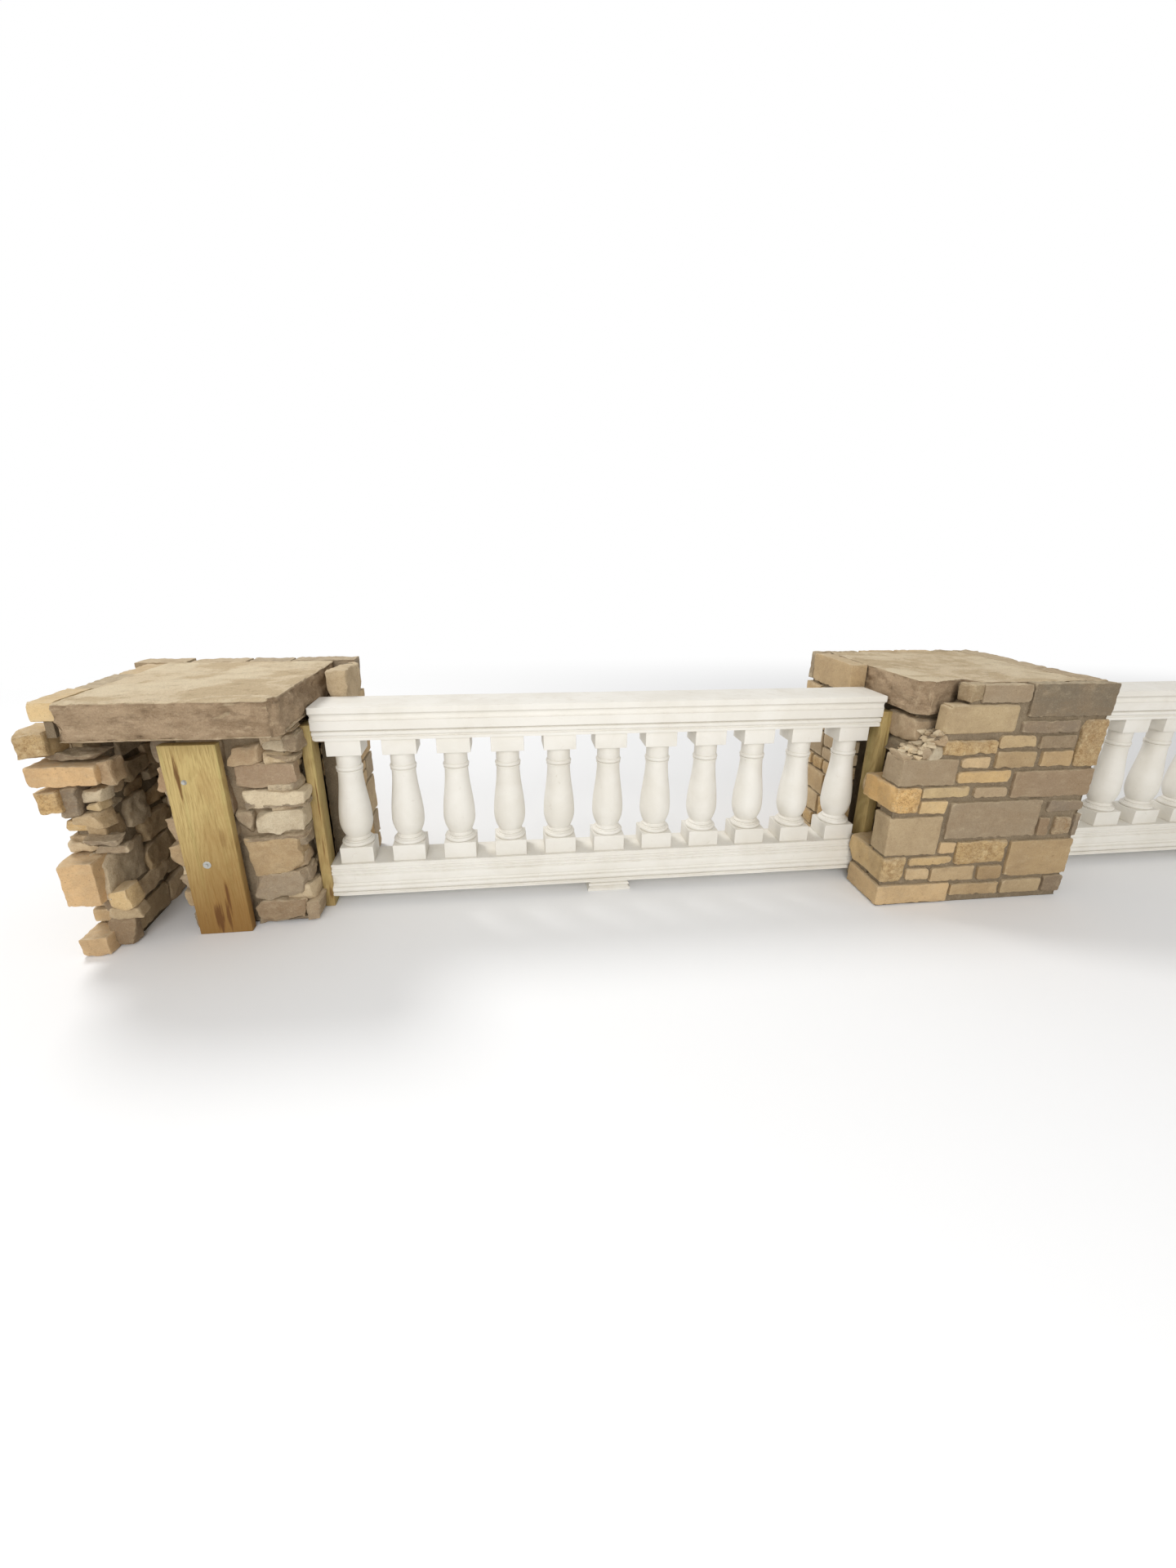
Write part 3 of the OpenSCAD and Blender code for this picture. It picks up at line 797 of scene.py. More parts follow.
def top_rail_half():
    """Half the top rail's outline from its foot up; u is a hundredth of its height."""
    w, h = 0.094, 0.131
    u = h / 100
    return (
        [(w - 15 * u, 0), (w - 15 * u, 8 * u), (w - 18 * u, 10 * u)]
        + arc(w - 19 * u, 20.5 * u, 7.6 * u, -90, 90)
        + [(w - 18 * u, 32 * u), (w - 9 * u, 32 * u), (w - 8 * u, 33 * u), (w - 8 * u, h - 42 * u)]
        + arc(w, h - 30.5 * u, 11.5 * u, 235, 125)
        + [(w - 1.5 * u, h - 19 * u), (w, h - 17.5 * u)]
        + arc(w - 3 * u, h - 3 * u, 3 * u, 0, 90, 5)
    )


def bottom_rail_half():
    """Half the bottom rail's outline, in the same way."""
    w, h = 0.096, 0.130
    u = h / 100
    quarter = [math.radians(90 * i / 8) for i in range(9)]
    return (
        [(w - 1 * u, 0), (w, 1 * u), (w, 6.4 * u), (w - 3 * u, 7.7 * u), (w - 3 * u, 10 * u)]
        + arc(w - 10 * u, 20 * u, 9.2 * u, -80, 80)
        + arc(w - 3 * u, 36 * u, 7 * u, 235, 125)
        + [(w - 12.3 * u + 4.6 * u * math.cos(t), 44 * u + 18.5 * u * math.sin(t)) for t in quarter]
        + [(w - 14 * u, h - 35.4 * u)]
        + arc(w - 15.4 * u, h - 30 * u, 4.6 * u, -80, 80)
        + arc(w - 16.2 * u, h - 18.5 * u, 4.6 * u, -80, 80)
        + [(w - 17 * u, h - 7.7 * u), (w - 14.6 * u, h - 7 * u), (w - 14.6 * u, h - 1.2 * u)]
        + [(w - 15.8 * u, h)]
    )


def foot_half():
    """Half the foot's outline, in the same way."""
    w, h = 0.090, 0.046
    u = h / 100
    return (
        [(w, 0), (w, 20 * u), (w - 3 * u, 23 * u), (w - 13 * u, 28 * u)]
        + arc(w - 26 * u, 56 * u, 17 * u, -90, 90)
        + [(w - 30 * u, h - 15 * u), (w - 26 * u, h - 13 * u), (w - 26 * u, h)]
    )


def rail(half, x, z, seed):
    """A moulded rail with slightly chipped ends and arrises that aren't quite straight."""
    outline = np.array(half + [(-across, up) for across, up in reversed(half)])
    near = [0, 0.0015, 0.005, 0.010, 0.016, 0.024, 0.036, 0.055]
    inner = np.linspace(0.055, RAIL_L - 0.055, 28)[1:-1]
    places = np.concatenate([near, inner, [RAIL_L - v for v in reversed(near)]])
    rings = []
    for place in places:
        end = min(place, RAIL_L - place)
        p = np.insert(outline, 0, place - RAIL_L / 2, axis=1)
        side = 1 if place < RAIL_L / 2 else 2
        chip = np.clip(noise(p * [0.6, 1, 1], 0.024, seed + side) - 0.15, 0, 1)
        pull = 0.016 * chip * fade(end, 0.03) + 0.0012 * fade(end, 0.0015)
        away = outline - outline.mean(0)
        away /= np.linalg.norm(away, axis=1, keepdims=True)
        p[:, 1:] -= away * pull[:, None]
        p[:, 1:] += 0.0005 * noise(p, 0.15, seed + 5)[:, None] * away
        rings.append(p)
    p = np.concatenate(rings) + np.array([x, RAIL_Y, z])
    p[:, 2] = np.clip(p[:, 2], z, None)
    return p, wound(len(outline), len(places), inward=True)


def foot(x):
    """The foot's moulding runs round all four sides."""
    half = foot_half()
    p = []
    for w, h in half:
        ring = np.array([(-w, -w, h), (w, -w, h), (w, w, h), (-w, w, h)])
        for a, b in zip(ring, np.roll(ring, -1, axis=0)):
            p += [a + (b - a) * t for t in (0, 0.02, 0.25, 0.5, 0.75, 0.98)]
    return np.array(p) + np.array([x, RAIL_Y, 0]), wound(len(p) // len(half), len(half))


BAL_H, PLINTH_H, CAP_H, BLOCK_W = 0.510, 0.067, 0.063, 0.127


def turned_half():
    """The turned part: torus, fillet, waist, belly, taper, ring and flare."""
    h = BAL_H - PLINTH_H - CAP_H
    u = h / 100
    torus, waist_h, belly_h, ring_h = 0.044 * h, 0.09 * h, 0.26 * h, 0.80 * h
    belly, neck = 0.0635, 0.046
    waist = neck - 0.005 * h
    line = [(belly - torus / 2, 0)]
    line += arc(belly - torus / 2, torus / 2, torus / 2, -90, 90, 10)
    line += [(belly - 2.4 * u, torus + 0.8 * u), (waist + 1.8 * u, torus + 1.3 * u)]
    line += arc(waist + 0.8 * u, waist_h - 2.4 * u, u, -60, 80, 5)
    for t in np.arange(15) / 14:
        swell = math.sin(math.radians(90 * t)) ** 0.75
        line.append((waist + (belly - waist) * swell, waist_h + (belly_h - waist_h) * t))
    for t in np.arange(1, 18) / 17:
        taper = (1 + math.cos(math.pi * t)) / 2
        line.append((neck + (belly - neck) * taper, belly_h + (ring_h - belly_h) * t))
    line += [(neck + 0.8 * u, ring_h + 0.5 * u), (neck + 0.8 * u, ring_h + 1.6 * u)]
    line += [(neck + 0.3 * u, ring_h + 1.9 * u)]
    line += arc(neck - 1.1 * u, ring_h + 4.2 * u, 2.4 * u, -70, 70, 9)
    line += [(neck, ring_h + 7.1 * u)]
    for t in np.radians(np.arange(7) * 15.0):
        line.append((neck + 1.3 * u * (1 - math.cos(t)), h - 3.7 * u * (1 - math.sin(t))))
    return line


def baluster():
    """One baluster about the origin: its parts as (points, faces)."""
    half = BLOCK_W / 2
    parts = []
    for seed, z0, z1 in ((3, 0, PLINTH_H), (4, BAL_H - CAP_H, BAL_H)):
        parts.append(eased_block((-half, -half, z0), (half, half, z1), 0.0022, 0.20, seed))
    line = turned_half()
    a, b, h = lathed(line, 36)
    parts.append((np.stack([a, b, h + PLINTH_H], -1).reshape(-1, 3), wound(36, len(line))))
    return parts


def bay(number, x):
    """The cast stone of one bay."""
    upper = ("top_rail", top_rail_half, TOP_RAIL_Z, 0)
    lower = ("bottom_rail", bottom_rail_half, BOTTOM_RAIL_Z, 5)
    for name, half, z, seed in (upper, lower):
        bag = Bag()
        bag.add(*rail(half(), x, z, 10 * number + seed))
        make(f"moulded_{name}_{number}", bag, [CAST], f"{name}_{number}", 30)
    bag = Bag()
    bag.add(*foot(x))
    make(f"moulded_foot_{number}", bag, [CAST], f"rail_foot_{number}", 30)
    bag = Bag()
    rng = np.random.default_rng(40 + number)
    one = baluster()
    middle = BALUSTERS // 2
    for i in range(BALUSTERS):
        turn = turned(0 if i == middle else rng.uniform(-0.012, 0.012))
        at = np.array([x + (i - middle) * PITCH, RAIL_Y, BALUSTER_Z])
        for p, faces in one:
            bag.add(p @ turn.T + at, faces)
    make(f"turned_balusters_{number}", bag, [CAST], f"balusters_{number}", 30)


for number, x in enumerate(BAY_X, 1):
    bay(number, x)

# Timber: end posts, plank and its fasteners


def timber_piece(name, node, material, seed):
    bag = Bag()
    p, faces = eased_block(*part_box(node), 0.003, 0.03, seed, 0.0008)
    p[:, 2] = np.clip(p[:, 2], 0.0, None)
    bag.add(p, faces)
    make(name, bag, [material], node, 40)


def disc(x, z, y, radius, thick, sides):
    """A washer or bolt head on the plank's face, standing out towards the front."""
    centre = 1e-4
    line = [(centre, 0), (radius, 0), (radius, -0.7 * thick), (0.93 * radius, -thick), (centre, -thick)]
    a, b, h = lathed(line, sides)
    return np.stack([x + a, y + h, z + b], -1).reshape(-1, 3), wound(sides, len(line), ends=False)


timber_piece("sawn_post_left", "end_post_left", POST, 5)
timber_piece("sawn_post_right", "end_post_right", POST, 6)
timber_piece("sawn_plank", "shoring_plank", PLANK, 7)
bag = Bag()
plank_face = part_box("shoring_plank")[0].y
for x, z, radius, head in ((-0.030, 0.602, 0.009, 0.75), (-0.016, 0.286, 0.014, 0.42)):
    bag.add(*disc(PIER_X[0] + x, z, plank_face + 0.0005, radius, 0.0025, 28))
    bag.add(*disc(PIER_X[0] + x, z, plank_face - 0.0015, radius * head, 0.006, 6))
make("plank_fasteners", bag, [ZINC], crease=30)

# Slabs


def slab_piece(name, node, size, seed, rugged, broken=None):
    """A cap slab with split sides in thin beds, torn arrises and a worn top.

    A broken corner is (across, reach, depth): the way across in which it lies farthest
    towards the front, how far the break reaches along the sides, and how deep it goes.
    """
    p, n, quads = remeshed(node, size)
    side = np.clip(1 - np.abs(n[:, 2]), 0, 1)
    beds = layered(p * [0.4, 0.4, 1.6], 0.050, seed, 4)
    ledges = np.round(2.4 * layered(p * [0.35, 0.35, 1.3], 0.060, seed + 5, 3)) / 2.4
    lumps = layered(p, 0.12, seed + 3, 4)
    pits = np.clip(-0.15 - layered(p, 0.030, seed + 15, 2), 0, 1)
    chips = np.abs(layered(p * [0.8, 0.8, 1.2], 0.055, seed + 27, 3))
    flakes = np.round(3 * layered(p * [1, 1, 0.3], 0.10, seed + 9, 4)) / 3
    uneven = rugged * (0.5 * beds + 0.8 * ledges + 0.6 * lumps - 1.2 * pits - 1.3 * chips - 0.2)
    low, high = p[:, 2].min(), p[:, 2].max()
    arris = fade(np.minimum(p[:, 2] - low, high - p[:, 2]), 0.020)
    torn = np.clip(0.35 + 1.5 * layered(p, 0.050, seed + 21, 4), 0, 2)
    uneven -= side * arris * rugged * torn
    across = np.abs(p[:, None, :2] - np.stack([p[:, :2].min(0), p[:, :2].max(0)])).min((1, 2))
    rim = fade(across, 0.016) * (1 - side)
    p += n * (side * uneven + (1 - side) * 0.0016 * (flakes - 1.0))[:, None]
    p[:, 2] -= np.sign(n[:, 2]) * rim * 0.5 * rugged * torn
    if broken is not None:
        across, reach, deep = broken
        lean = p[:, 0] * across - p[:, 1]
        away = np.abs(p[:, :2] - p[np.argmax(lean), :2])
        near = fade(away.sum(1), reach)
        bite = deep * near * (0.9 + 0.5 * layered(p * [1, 1, 0.8], 0.030, seed + 33, 3))
        p[:, 0] -= across * bite
        p[:, 1] += bite
    p[:, 2] = np.minimum(p[:, 2], PIER_H)
    bag = Bag()
    bag.add(p, [quads], rough=1.0)
    make(name, bag, [SLAB], node, 40)


slab_piece("split_slab_left", "left_pier_slab", 0.0080, 3, 0.0130, (1, 0.036, 0.018))
slab_piece("split_slab_middle", "mid_pier_slab", 0.0085, 13, 0.0095, (-1, 0.050, 0.025))
slab_piece("split_slab_right", "right_pier_slab", 0.0105, 23, 0.0075)

# Piers


def masonry(name, node, bag, seed, voxel=0.021, set_back=0.016, amp=0.0025, end=None):
    """A facing: its stones over a body of mortar."""
    heart(bag, node, seed, voxel, set_back, amp, MORTAR, end)
    make(name, bag, [STONE, BED], node)


def core(name, node, bag, seed):
    """A core: its rubble over a body of pale mortar."""
    heart(bag, node, seed, 0.018, 0.024, 0.006, LIME)
    make(name, bag, [STONE, BED], node, 45)


# Middle pier's front, as measured: left, right, bottom, top, colour, style, and for a
# stone that shows more than its front: depth and the sides that show
# The ASH and BROWN stones towards the right end and at the top right are partly their own darker tone and
# partly painted shade
FACE_STONES = [
    (-0.140, 0.057, 0.840, 0.909, DOVE, SAWN, 0.047, "lt"),
    (-0.206, -0.134, 0.845, 0.909, SAND, LUMP, 0.060, "lt"),
    (0.065, 0.415, 0.782, 0.909, BROWN, SAWN, 0.047, "r"),
    (-0.268, 0.027, 0.720, 0.834, BUFF, WORN, 0.062, "lt"),
    (0.052, 0.293, 0.719, 0.768, ASH, SAWN),
    (0.310, 0.415, 0.578, 0.768, BUFF, SPLIT, 0.280, "r"),
    (-0.253, -0.036, 0.643, 0.695, STRAW, SPLIT, 0.104, "l"),
    (-0.026, 0.124, 0.664, 0.712, BUFF, PILL),
    (0.143, 0.296, 0.659, 0.706, DOVE, SAWN),
    (-0.023, 0.143, 0.582, 0.648, SAND, SAWN),
    (0.167, 0.297, 0.581, 0.645, SAND, SAWN),
    (-0.408, -0.183, 0.520, 0.626, GREY, SAWN, 0.115, "lt"),
    (-0.168, -0.049, 0.589, 0.630, TAN, PILL, 0.104, "t"),
    (-0.168, 0.051, 0.527, 0.573, STRAW, PILL),
    (0.074, 0.415, 0.456, 0.565, ASH, SAWN, 0.120, "r"),
    (-0.415, -0.312, 0.407, 0.510, GOLD, SPLIT, 0.218, "l"),
    (-0.301, -0.109, 0.469, 0.511, STRAW, SAWN),
    (-0.089, 0.053, 0.464, 0.506, GREY, PILL),
    (-0.301, -0.189, 0.402, 0.454, STRAW, SAWN),
    (-0.172, 0.224, 0.289, 0.445, DOVE, SAWN),
    (-0.415, -0.195, 0.226, 0.389, TAN, SAWN, 0.104, "l"),
    (0.255, 0.415, 0.390, 0.435, ASH, PILL, 0.200, "r"),
    (0.236, 0.283, 0.284, 0.362, ASH, SAWN),
    (0.302, 0.380, 0.282, 0.364, GREY, SPLIT),
    (0.390, 0.415, 0.279, 0.376, ASH, SAWN, 0.300, "r"),
    (-0.179, -0.112, 0.227, 0.275, TAN, SAWN),
    (-0.101, 0.120, 0.176, 0.275, STRAW, SPLIT),
    (0.136, 0.415, 0.104, 0.264, SAND, SAWN, 0.115, "r"),
    (-0.415, -0.314, 0.110, 0.219, STRAW, SPLIT, 0.250, "l"),
    (-0.301, -0.116, 0.177, 0.215, STRAW, PILL),
    (-0.303, -0.204, 0.110, 0.165, TAN, PILL),
    (-0.191, -0.003, 0.100, 0.162, TAN, SAWN),
    (0.015, 0.126, 0.096, 0.157, SAND, PILL),
    (-0.415, -0.101, 0.004, 0.092, TAN, SAWN, 0.225, "l"),
    (-0.089, 0.124, 0.029, 0.081, SAND, SAWN),
    (0.136, 0.317, 0.027, 0.086, SAND, SAWN),
    (0.330, 0.415, 0.020, 0.094, ASH, SAWN, 0.260, "r"),
]
# Where the mortar stops beside the broken end: bottom, top, leftmost place
BROKEN_END = (0.724, 0.840, -0.232)
# Torn mass of stone and mortar at the break: left, right, bottom, top, how far it is
# set back from the face and reaches in, colour
BREAK_MASS = (
    (-0.416, -0.368, 0.612, 0.642, 0.006, 0.100, RUBBLE),
    (-0.372, -0.326, 0.614, 0.652, 0.002, 0.100, PALE),
    (-0.334, -0.290, 0.618, 0.668, 0.004, 0.100, RUBBLE),
    (-0.300, -0.256, 0.628, 0.690, 0.001, 0.095, PALE),
    (-0.292, -0.250, 0.678, 0.722, 0.004, 0.085, RUBBLE),
)
# Its upper edge, from under the first whole stone down to the left
BREAK_LINE = ((-0.268, 0.728), (-0.286, 0.706), (-0.312, 0.682), (-0.350, 0.660), (-0.408, 0.640))
# How far the front's end stones return on the right side, band by band
RETURNS = (0.260, 0.115, 0.300, 0.200, 0.120, 0.280)
# Torn stones of the left side that show behind the posts: left, right, bottom, top
STUMPS = (
    (0.172, 0.192, 0.012, 0.100, BROWN),
    (0.170, 0.305, 0.108, 0.190, GREY),
    (0.175, 0.200, 0.412, 0.500, TAN),
    (0.205, 0.305, 0.412, 0.462, GREY),
    (0.225, 0.305, 0.468, 0.512, RUBBLE),
)
# Core stones in the recess under the middle slab: left, right, front, back, bottom, top
RECESS_STONES = [
    (-0.322, -0.205, -0.330, -0.130, 0.674, 0.754, RUBBLE),
    (-0.200, -0.080, -0.322, -0.200, 0.664, 0.760, DARK),
    (-0.318, -0.200, -0.334, -0.125, 0.592, 0.664, BROWN),
    (-0.190, -0.050, -0.325, -0.200, 0.580, 0.655, RUBBLE),
]


def break_bits(wall):
    """Torn bits of stone and mortar on the broken thickness of the front facing."""
    for k, (u0, u1, z0, z1, back, depth, colour) in enumerate(BREAK_MASS, 480):
        wall.lay((u0, back, z0), (u1, depth, z1), colour, LUMP, k, 0.0080, "lrtu", jitter(k, 0.009))
    rng = np.random.default_rng(481)
    line = np.array(BREAK_LINE)
    for k in range(500, 530):
        along = rng.uniform(0, len(line) - 1)
        back = rng.uniform(0, 1) ** 1.4 * 0.082
        u = np.interp(along, range(len(line)), line[:, 0]) + rng.uniform(-0.006, 0.008)
        z = np.interp(along, range(len(line)), line[:, 1]) + 0.15 * back + rng.uniform(-0.010, 0.002)
        half = rng.uniform(0.007, 0.017, 3) * (1.2, 1.0, 0.65)
        middle = np.array([u, back + half[1], z])
        corners = rng.uniform(-0.005, 0.005, (4, 2))
        colour = (PALE, PALE, RUBBLE, GREY)[rng.integers(4)]
        wall.lay(middle - half, middle + half, colour, SHARD, k, 0.010, "lrtu", corners)


def middle_pier():
    wall = Wall(MIDDLE_PIER, FRONT)
    for k, (u0, u1, z0, z1, colour, style, *more) in enumerate(FACE_STONES, 400):
        depth, shows = more or (FACING_T - 0.004, "")
        wall.lay((u0, 0, z0), (u1, depth, z1), colour, style, k, 0.0067, shows)
    break_bits(wall)
    masonry("front_stones_middle", "mid_pier_front_facing", wall.bag, 3, 0.0125, 0.013, 0.0030, BROKEN_END)

    wall = Wall(MIDDLE_PIER, RIGHT)
    gap = (RAIL_FRONT, RAIL_BACK)
    wall.courses(0.092, 2000, 0.012, start=lambda band: RETURNS[band] - HALF_Y, gap=gap)
    wall.cap(0.094, -0.366, HALF_Y - 0.04, 31)
    masonry("right_stones_middle", "mid_pier_right_facing", wall.bag, 5)

    wall = Wall(MIDDLE_PIER, BACK)
    wall.courses(0.098, 2100)
    wall.corner_stones()
    wall.cap(0.036, -wall.half, wall.half, 32)
    masonry("back_stones_middle", "mid_pier_back_facing", wall.bag, 6)

    wall = Wall(MIDDLE_PIER, LEFT)
    wall.courses(0.092, 2200, end=lambda band: -RAIL_BACK)
    wall.cap(0.070, -HALF_Y + 0.04, -RAIL_BACK, 33)
    for k, (u0, u1, z0, z1, colour) in enumerate(STUMPS, 600):
        wall.lay((u0, 0.010, z0), (u1, 0.096, z1), colour, LUMP, k, 0.011, "tlr")
    masonry("left_stones_middle", "mid_pier_left_facing", wall.bag, 7, 0.012, 0.014, 0.005)

    wall = Wall(MIDDLE_PIER, FRONT, CORE_Y)
    for k, (x0, x1, y0, y1, z0, z1, colour) in enumerate(RECESS_STONES, 630):
        low, high = (x0, y0 + CORE_Y, z0), (x1, y1 + CORE_Y, z1)
        wall.lay(low, high, colour, LUMP, k, 0.0105, "lt", jitter(k, 0.008))
    side = Wall(MIDDLE_PIER, LEFT, CORE_X + 0.002, wall.bag)
    side.rubble(0.100, 0.318, 0.0, 0.58, 0.09, 71, 0.020)
    core("rubble_core_middle", "mid_pier_core", wall.bag, 8)


# Bared front of the left pier's core, beside the plank and behind it: left, right,
# bottom, top, colour
CORE_STONES = [
    (0.108, 0.211, 0.651, 0.721, RUBBLE),
    (0.104, 0.220, 0.728, 0.774, DARK),
    (0.232, 0.308, 0.681, 0.727, PALE),
    (0.226, 0.320, 0.734, 0.776, RUBBLE),
    (0.300, 0.338, 0.688, 0.762, DARK),
    (0.222, 0.330, 0.658, 0.676, DARK),
    (0.105, 0.332, 0.556, 0.652, PINK),
    (0.112, 0.326, 0.492, 0.537, PALE),
    (0.106, 0.334, 0.465, 0.489, DARK),
    (0.146, 0.327, 0.379, 0.459, PALE),
    (0.104, 0.152, 0.386, 0.456, RUBBLE),
    (0.104, 0.324, 0.351, 0.376, DARK),
    (0.102, 0.310, 0.216, 0.345, TAN),
    (0.108, 0.314, 0.114, 0.210, RUBBLE),
    (0.110, 0.276, 0.024, 0.098, DARK),
    (0.284, 0.320, 0.016, 0.100, RUBBLE),
    (0.100, 0.300, 0.000, 0.018, DARK),
    (-0.132, -0.060, 0.655, 0.765, DARK),
    (-0.138, -0.050, 0.560, 0.648, PINK),
    (-0.126, -0.060, 0.450, 0.552, DARK),
    (-0.134, -0.040, 0.360, 0.442, RUBBLE),
    (-0.160, -0.050, 0.272, 0.352, TAN),
    (-0.124, -0.050, 0.226, 0.268, PALE),
    (-0.134, -0.060, 0.152, 0.220, RUBBLE),
    (-0.150, -0.050, 0.088, 0.148, TAN),
    (-0.138, -0.030, 0.000, 0.080, DARK),
    (-0.040, 0.090, 0.020, 0.150, RUBBLE),
    (-0.035, 0.088, 0.160, 0.300, DARK),
    (-0.045, 0.092, 0.310, 0.440, RUBBLE),
    (-0.040, 0.086, 0.450, 0.600, DARK),
    (-0.045, 0.090, 0.610, 0.740, RUBBLE),
]

# What is left of the left pier's front corner: left, right, bottom, top, how far it
# is set back from the face, colour, style
QUOIN_STONES = [
    (-0.440, -0.364, 0.732, 0.826, 0.000, GOLD, SPLIT),
    (-0.388, -0.230, 0.704, 0.738, 0.024, ASH, LUMP),
    (-0.438, -0.236, 0.635, 0.704, 0.000, HONEY, SAWN),
    (-0.246, -0.206, 0.624, 0.700, 0.030, RUBBLE, LUMP),
    (-0.440, -0.366, 0.536, 0.621, 0.000, GOLD, SPLIT),
    (-0.374, -0.330, 0.530, 0.622, 0.020, DARK, LUMP),
    (-0.332, -0.264, 0.560, 0.602, 0.045, PALE, SHARD),
    (-0.322, -0.268, 0.536, 0.562, 0.040, STRAW, SHARD),
    (-0.364, -0.274, 0.474, 0.540, 0.028, TAN, LUMP),
    (-0.356, -0.255, 0.412, 0.432, 0.040, DARK, LUMP),
    (-0.345, -0.240, 0.374, 0.406, 0.062, RUBBLE, LUMP),
    (-0.436, -0.342, 0.370, 0.412, 0.072, PALE, LUMP),
    (-0.434, -0.327, 0.201, 0.362, 0.000, HONEY, SAWN),
    (-0.330, -0.258, 0.160, 0.238, 0.034, STRAW, SHARD),
    (-0.366, -0.322, 0.146, 0.202, 0.060, DARK, LUMP),
    (-0.340, -0.246, 0.126, 0.160, 0.044, TAN, LUMP),
    (-0.437, -0.346, 0.000, 0.070, 0.000, HONEY, SAWN),
    (-0.352, -0.280, 0.000, 0.112, 0.050, DARK, LUMP),
]

# Inner side of the left facing, towards the hollow: front, back, bottom, top, how far
# left of the pier's middle the stone's face lies, colour
# Their colours are set lighter than the stones' own: painted light that makes up for the hollow's shade
HOLLOW_STONES = [
    (-0.300, -0.150, 0.655, 0.770, 0.318, TAN),
    (-0.145, 0.112, 0.648, 0.768, 0.312, CHALK_PAINTED_LIGHT),
    (-0.287, -0.157, 0.548, 0.642, 0.302, CHALK_PAINTED_LIGHT),
    (-0.152, 0.000, 0.552, 0.628, 0.296, TAN),
    (0.006, 0.114, 0.556, 0.640, 0.304, CHALK_PAINTED_LIGHT),
    (-0.318, -0.165, 0.497, 0.532, 0.312, PALE),
    (-0.160, -0.020, 0.498, 0.542, 0.320, TAN),
    (-0.012, 0.114, 0.492, 0.546, 0.312, CHALK_PAINTED_LIGHT),
    (-0.324, -0.210, 0.402, 0.486, 0.304, TAN),
    (-0.205, -0.045, 0.380, 0.488, 0.296, CHALK_PAINTED_LIGHT),
    (-0.038, 0.112, 0.424, 0.484, 0.310, TAN),
    (-0.137, 0.064, 0.292, 0.412, 0.294, TAN),
    (0.070, 0.114, 0.296, 0.414, 0.308, CHALK_PAINTED_LIGHT),
    (-0.372, -0.142, 0.200, 0.366, 0.310, CHALK_PAINTED_LIGHT),
    (-0.132, 0.114, 0.198, 0.285, 0.302, TAN),
    (-0.318, -0.020, 0.103, 0.190, 0.304, CHALK_PAINTED_LIGHT),
    (-0.012, 0.114, 0.106, 0.190, 0.310, TAN),
    (-0.337, -0.050, 0.010, 0.094, 0.306, TAN),
    (-0.042, 0.114, 0.000, 0.097, 0.302, CHALK_PAINTED_LIGHT),
]

# Blocks beside the left slab, on the left side: front, back, bottom, colour
SIDE_BLOCKS = (
    (-0.415, -0.190, 0.846, STRAW),
    (-0.182, 0.080, 0.781, GREY),
    (0.088, 0.312, 0.781, TAN),
)


def left_pier():
    wall = Wall(LEFT_PIER, FRONT)
    for k, (u0, u1, z0, z1, back, colour, style) in enumerate(QUOIN_STONES, 700):
        corners = jitter(k, 0.006) * (style is not SAWN)
        wall.lay((u0, back, z0), (u1, FACING_T + 0.012, z1), colour, style, k, 0.008, "lrtu", corners)
    make("corner_stones_left", wall.bag, [STONE, BED], "left_pier_quoins")

    wall = Wall(LEFT_PIER, LEFT)
    wall.courses(0.090, 3000, 0.013, end=lambda band: CORE_Y)
    for k, (y0, y1, z0, z1, left, colour) in enumerate(HOLLOW_STONES, 800):
        inner = Wall(LEFT_PIER, RIGHT, -left, wall.bag)
        inner.lay((y0, 0, z0), (y1, 0.055, z1), colour, LUMP, k, 0.011, "l", jitter(k, 0.012))
    for k, (y0, y1, z0, colour) in enumerate(SIDE_BLOCKS, 850):
        wall.lay((-y1, 0.062, z0), (-y0, 0.136, PIER_H - 0.003), colour, PILL, k, 0.012, "tr")
    masonry("side_stones_left", "left_pier_left_facing", wall.bag, 11, 0.016, 0.024, 0.005)

    wall = Wall(LEFT_PIER, RIGHT)
    wall.courses(0.115, 3100, 0.013, start=lambda band: RAIL_BACK + 0.004 + 0.02 * math.sin(7.0 * band))
    wall.lay((0.048, -0.017, SLAB_Z + 0.002), (0.308, 0.061, PIER_H - 0.003), PALE, LUMP, 870, 0.011, "tlr")
    masonry("right_stones_left", "left_pier_right_facing", wall.bag, 12, 0.016, 0.014, 0.004)

    wall = Wall(LEFT_PIER, BACK)
    wall.courses(0.098, 3200)
    wall.corner_stones()
    wall.cap(0.100, -wall.half, wall.half, 34)
    masonry("back_stones_left", "left_pier_back_facing", wall.bag, 13)

    wall = Wall(LEFT_PIER, FRONT, BARE_CORE_Y)
    for k, (u0, u1, z0, z1, colour) in enumerate(CORE_STONES, 900):
        rng = np.random.default_rng(k)
        corners = rng.uniform(-0.009, 0.009, (4, 2))
        low, high = (u0, rng.uniform(0.0, 0.014), z0), (u1, 0.12, z1)
        wall.lay(low, high, colour, LUMP, k, 0.0105, "lrtu", corners)
    Wall(LEFT_PIER, RIGHT, CORE_X, wall.bag).rubble(-0.262, 0.030, 0.0, SLAB_Z, 0.10, 91, 0.019)
    Wall(LEFT_PIER, LEFT, 0.140, wall.bag).rubble(-0.110, 0.262, 0.0, SLAB_Z, 0.10, 92, 0.021)
    Wall(LEFT_PIER, FRONT, -0.110, wall.bag).rubble(-0.332, -0.120, 0.0, SLAB_Z, 0.10, 93, 0.020)
    core("rubble_core_left", "left_pier_core", wall.bag, 9)


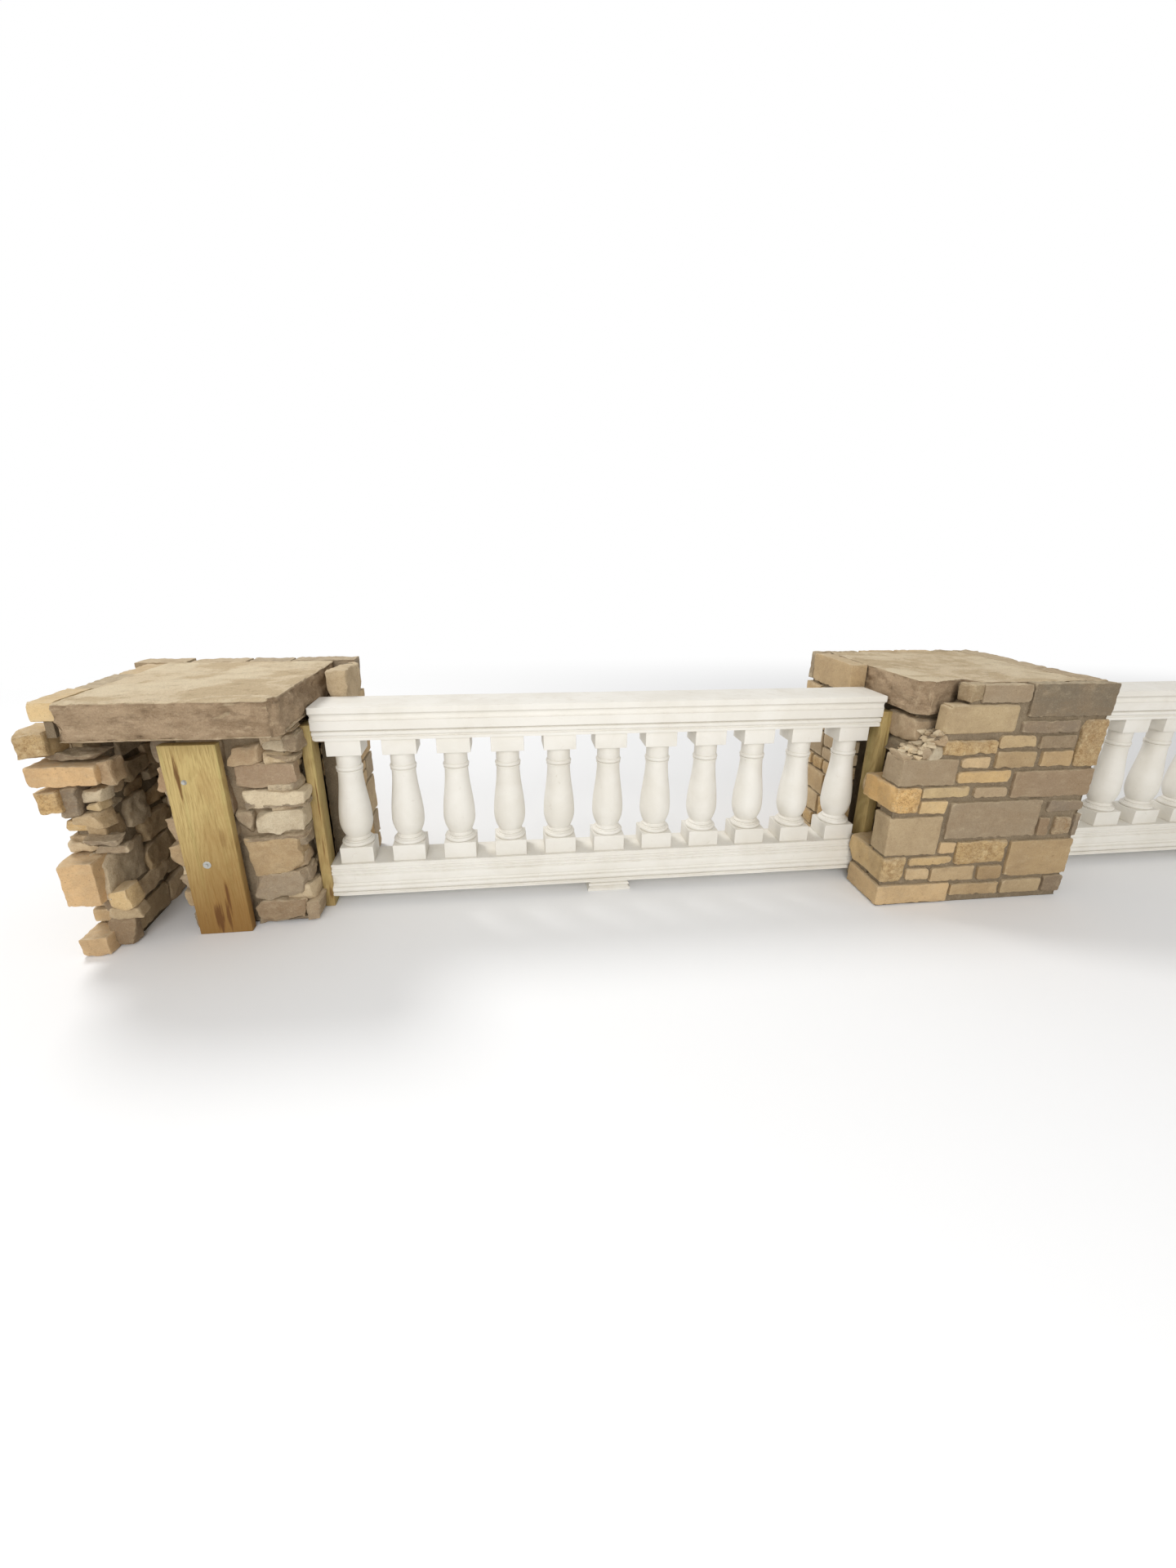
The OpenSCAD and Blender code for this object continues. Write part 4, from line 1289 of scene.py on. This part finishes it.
# Faces of the right pier: name, depth and grid step of its stones, and its top course:
# depth, left, right
RIGHT_FACES = (
    ("front", 0.098, 0.013, 0.046, -0.440, 0.440),
    ("right", 0.115, 0.015, 0.132, -0.366, 0.378),
    ("back", 0.098, 0.015, 0.036, -0.440, 0.440),
    ("left", 0.115, 0.013, 0.082, -0.378, 0.366),
)


def right_pier():
    for face, (side, depth, step, cap_depth, u0, u1) in enumerate(RIGHT_FACES):
        wall = Wall(RIGHT_PIER, face)
        gap = (-RAIL_BACK, -RAIL_FRONT) if face == LEFT else ()
        wall.courses(depth, 4000 + 100 * face, step, gap=gap)
        if face in (FRONT, BACK):
            wall.corner_stones(0.013 if face == FRONT else 0.017)
        wall.cap(cap_depth, u0, u1, 50 + face)
        masonry(f"{side}_stones_right", f"right_pier_{side}_facing", wall.bag, 20 + face)
    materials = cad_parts["right_pier_core"].data.materials
    materials.clear()
    materials.append(BED)


middle_pier()
left_pier()
right_pier()

# Floor, world, light and camera


def stage_floor():
    """A pale floor that turns white far from the object."""
    size = 60.0
    mesh = bpy.data.meshes.new("floor")
    corners = [(-size, -size, 0), (size, -size, 0), (size, size, 0), (-size, size, 0)]
    mesh.from_pydata(corners, [], [(0, 1, 2, 3)])
    floor = bpy.data.objects.new("floor", mesh)
    floor.location.z = -0.0005
    bpy.context.scene.collection.objects.link(floor)
    look = Look("floor")
    tree = look.tree
    pale = {"Base Color": (0.90, 0.90, 0.90, 1), "Roughness": 0.9, "Specular IOR Level": 0.1}
    feed(tree, look.shader, pale)
    flat = put(tree, "ShaderNodeVectorMath", {0: look.where, 1: (0.55, 1, 1)}, operation="MULTIPLY")
    away = put(tree, "ShaderNodeVectorMath", {0: flat.outputs[0]}, operation="LENGTH").outputs["Value"]
    white = put(tree, "ShaderNodeEmission", {"Color": (1, 1, 1, 1), "Strength": 1.0}).outputs[0]
    path = put(tree, "ShaderNodeLightPath", {})
    seen = look.times(look.ramp(away, 3.0, 6.0), path.outputs["Is Camera Ray"])
    both = put(tree, "ShaderNodeMixShader", {0: seen, 1: look.shader.outputs[0], 2: white})
    feed(tree, tree.nodes["Material Output"], {"Surface": both.outputs[0]})
    mesh.materials.append(look.material)


def stage_world():
    """Plain white light from all round, and a white background."""
    world = bpy.data.worlds.new("world")
    bpy.context.scene.world = world
    world.use_nodes = True
    tree = world.node_tree
    for node in list(tree.nodes):
        tree.nodes.remove(node)
    path = put(tree, "ShaderNodeLightPath", {})
    seen = path.outputs["Is Camera Ray"]
    for kind in ("Is Glossy Ray", "Is Transmission Ray"):
        either = {0: seen, 1: path.outputs[kind]}
        seen = put(tree, "ShaderNodeMath", either, operation="ADD", use_clamp=True).outputs[0]
    light, shown = (
        put(tree, "ShaderNodeBackground", {"Color": (1, 1, 1, 1), "Strength": strength}).outputs[0]
        for strength in (0.57, 1.0)
    )
    both = put(tree, "ShaderNodeMixShader", {0: seen, 1: light, 2: shown}).outputs[0]
    put(tree, "ShaderNodeOutputWorld", {"Surface": both})


def lamp(name, place, target, size, power):
    data = bpy.data.lights.new(name, "AREA")
    data.shape = "DISK"
    data.size = size
    data.energy = power
    thing = bpy.data.objects.new(name, data)
    bpy.context.scene.collection.objects.link(thing)
    thing.location = place
    thing.rotation_euler = (Vector(target) - Vector(place)).to_track_quat("-Z", "Y").to_euler()


def stage_camera():
    """The photograph's own place, direction and angle."""
    yaw, pitch, roll = 0.1314, -0.3577, 0.0096
    ahead = Vector((math.sin(yaw) * math.cos(pitch), math.cos(yaw) * math.cos(pitch), math.sin(pitch)))
    level = Vector((math.cos(yaw), -math.sin(yaw), 0))
    above = level.cross(ahead)
    right = math.cos(roll) * level + math.sin(roll) * above
    up = math.cos(roll) * above - math.sin(roll) * level
    data = bpy.data.cameras.new("camera")
    data.lens = 14.49
    data.sensor_width = 36.0
    data.sensor_fit = "AUTO"
    data.clip_start = 0.05
    data.clip_end = 200.0
    thing = bpy.data.objects.new("camera", data)
    bpy.context.scene.collection.objects.link(thing)
    turn = Matrix((right, up, -ahead)).transposed().to_4x4()
    thing.matrix_world = Matrix.Translation((-1.8747, -2.4878, 1.3630)) @ turn
    bpy.context.scene.camera = thing


stage_floor()
stage_world()
lamp("key", (-6.0, 3.5, 7.0), (-0.8, 0.0, 0.3), 2.6, 340)
lamp("fill", (-2.4, -7.0, 3.4), (-0.6, 0.0, 0.4), 4.5, 288)
stage_camera()
bpy.context.scene.view_settings.view_transform = "Standard"
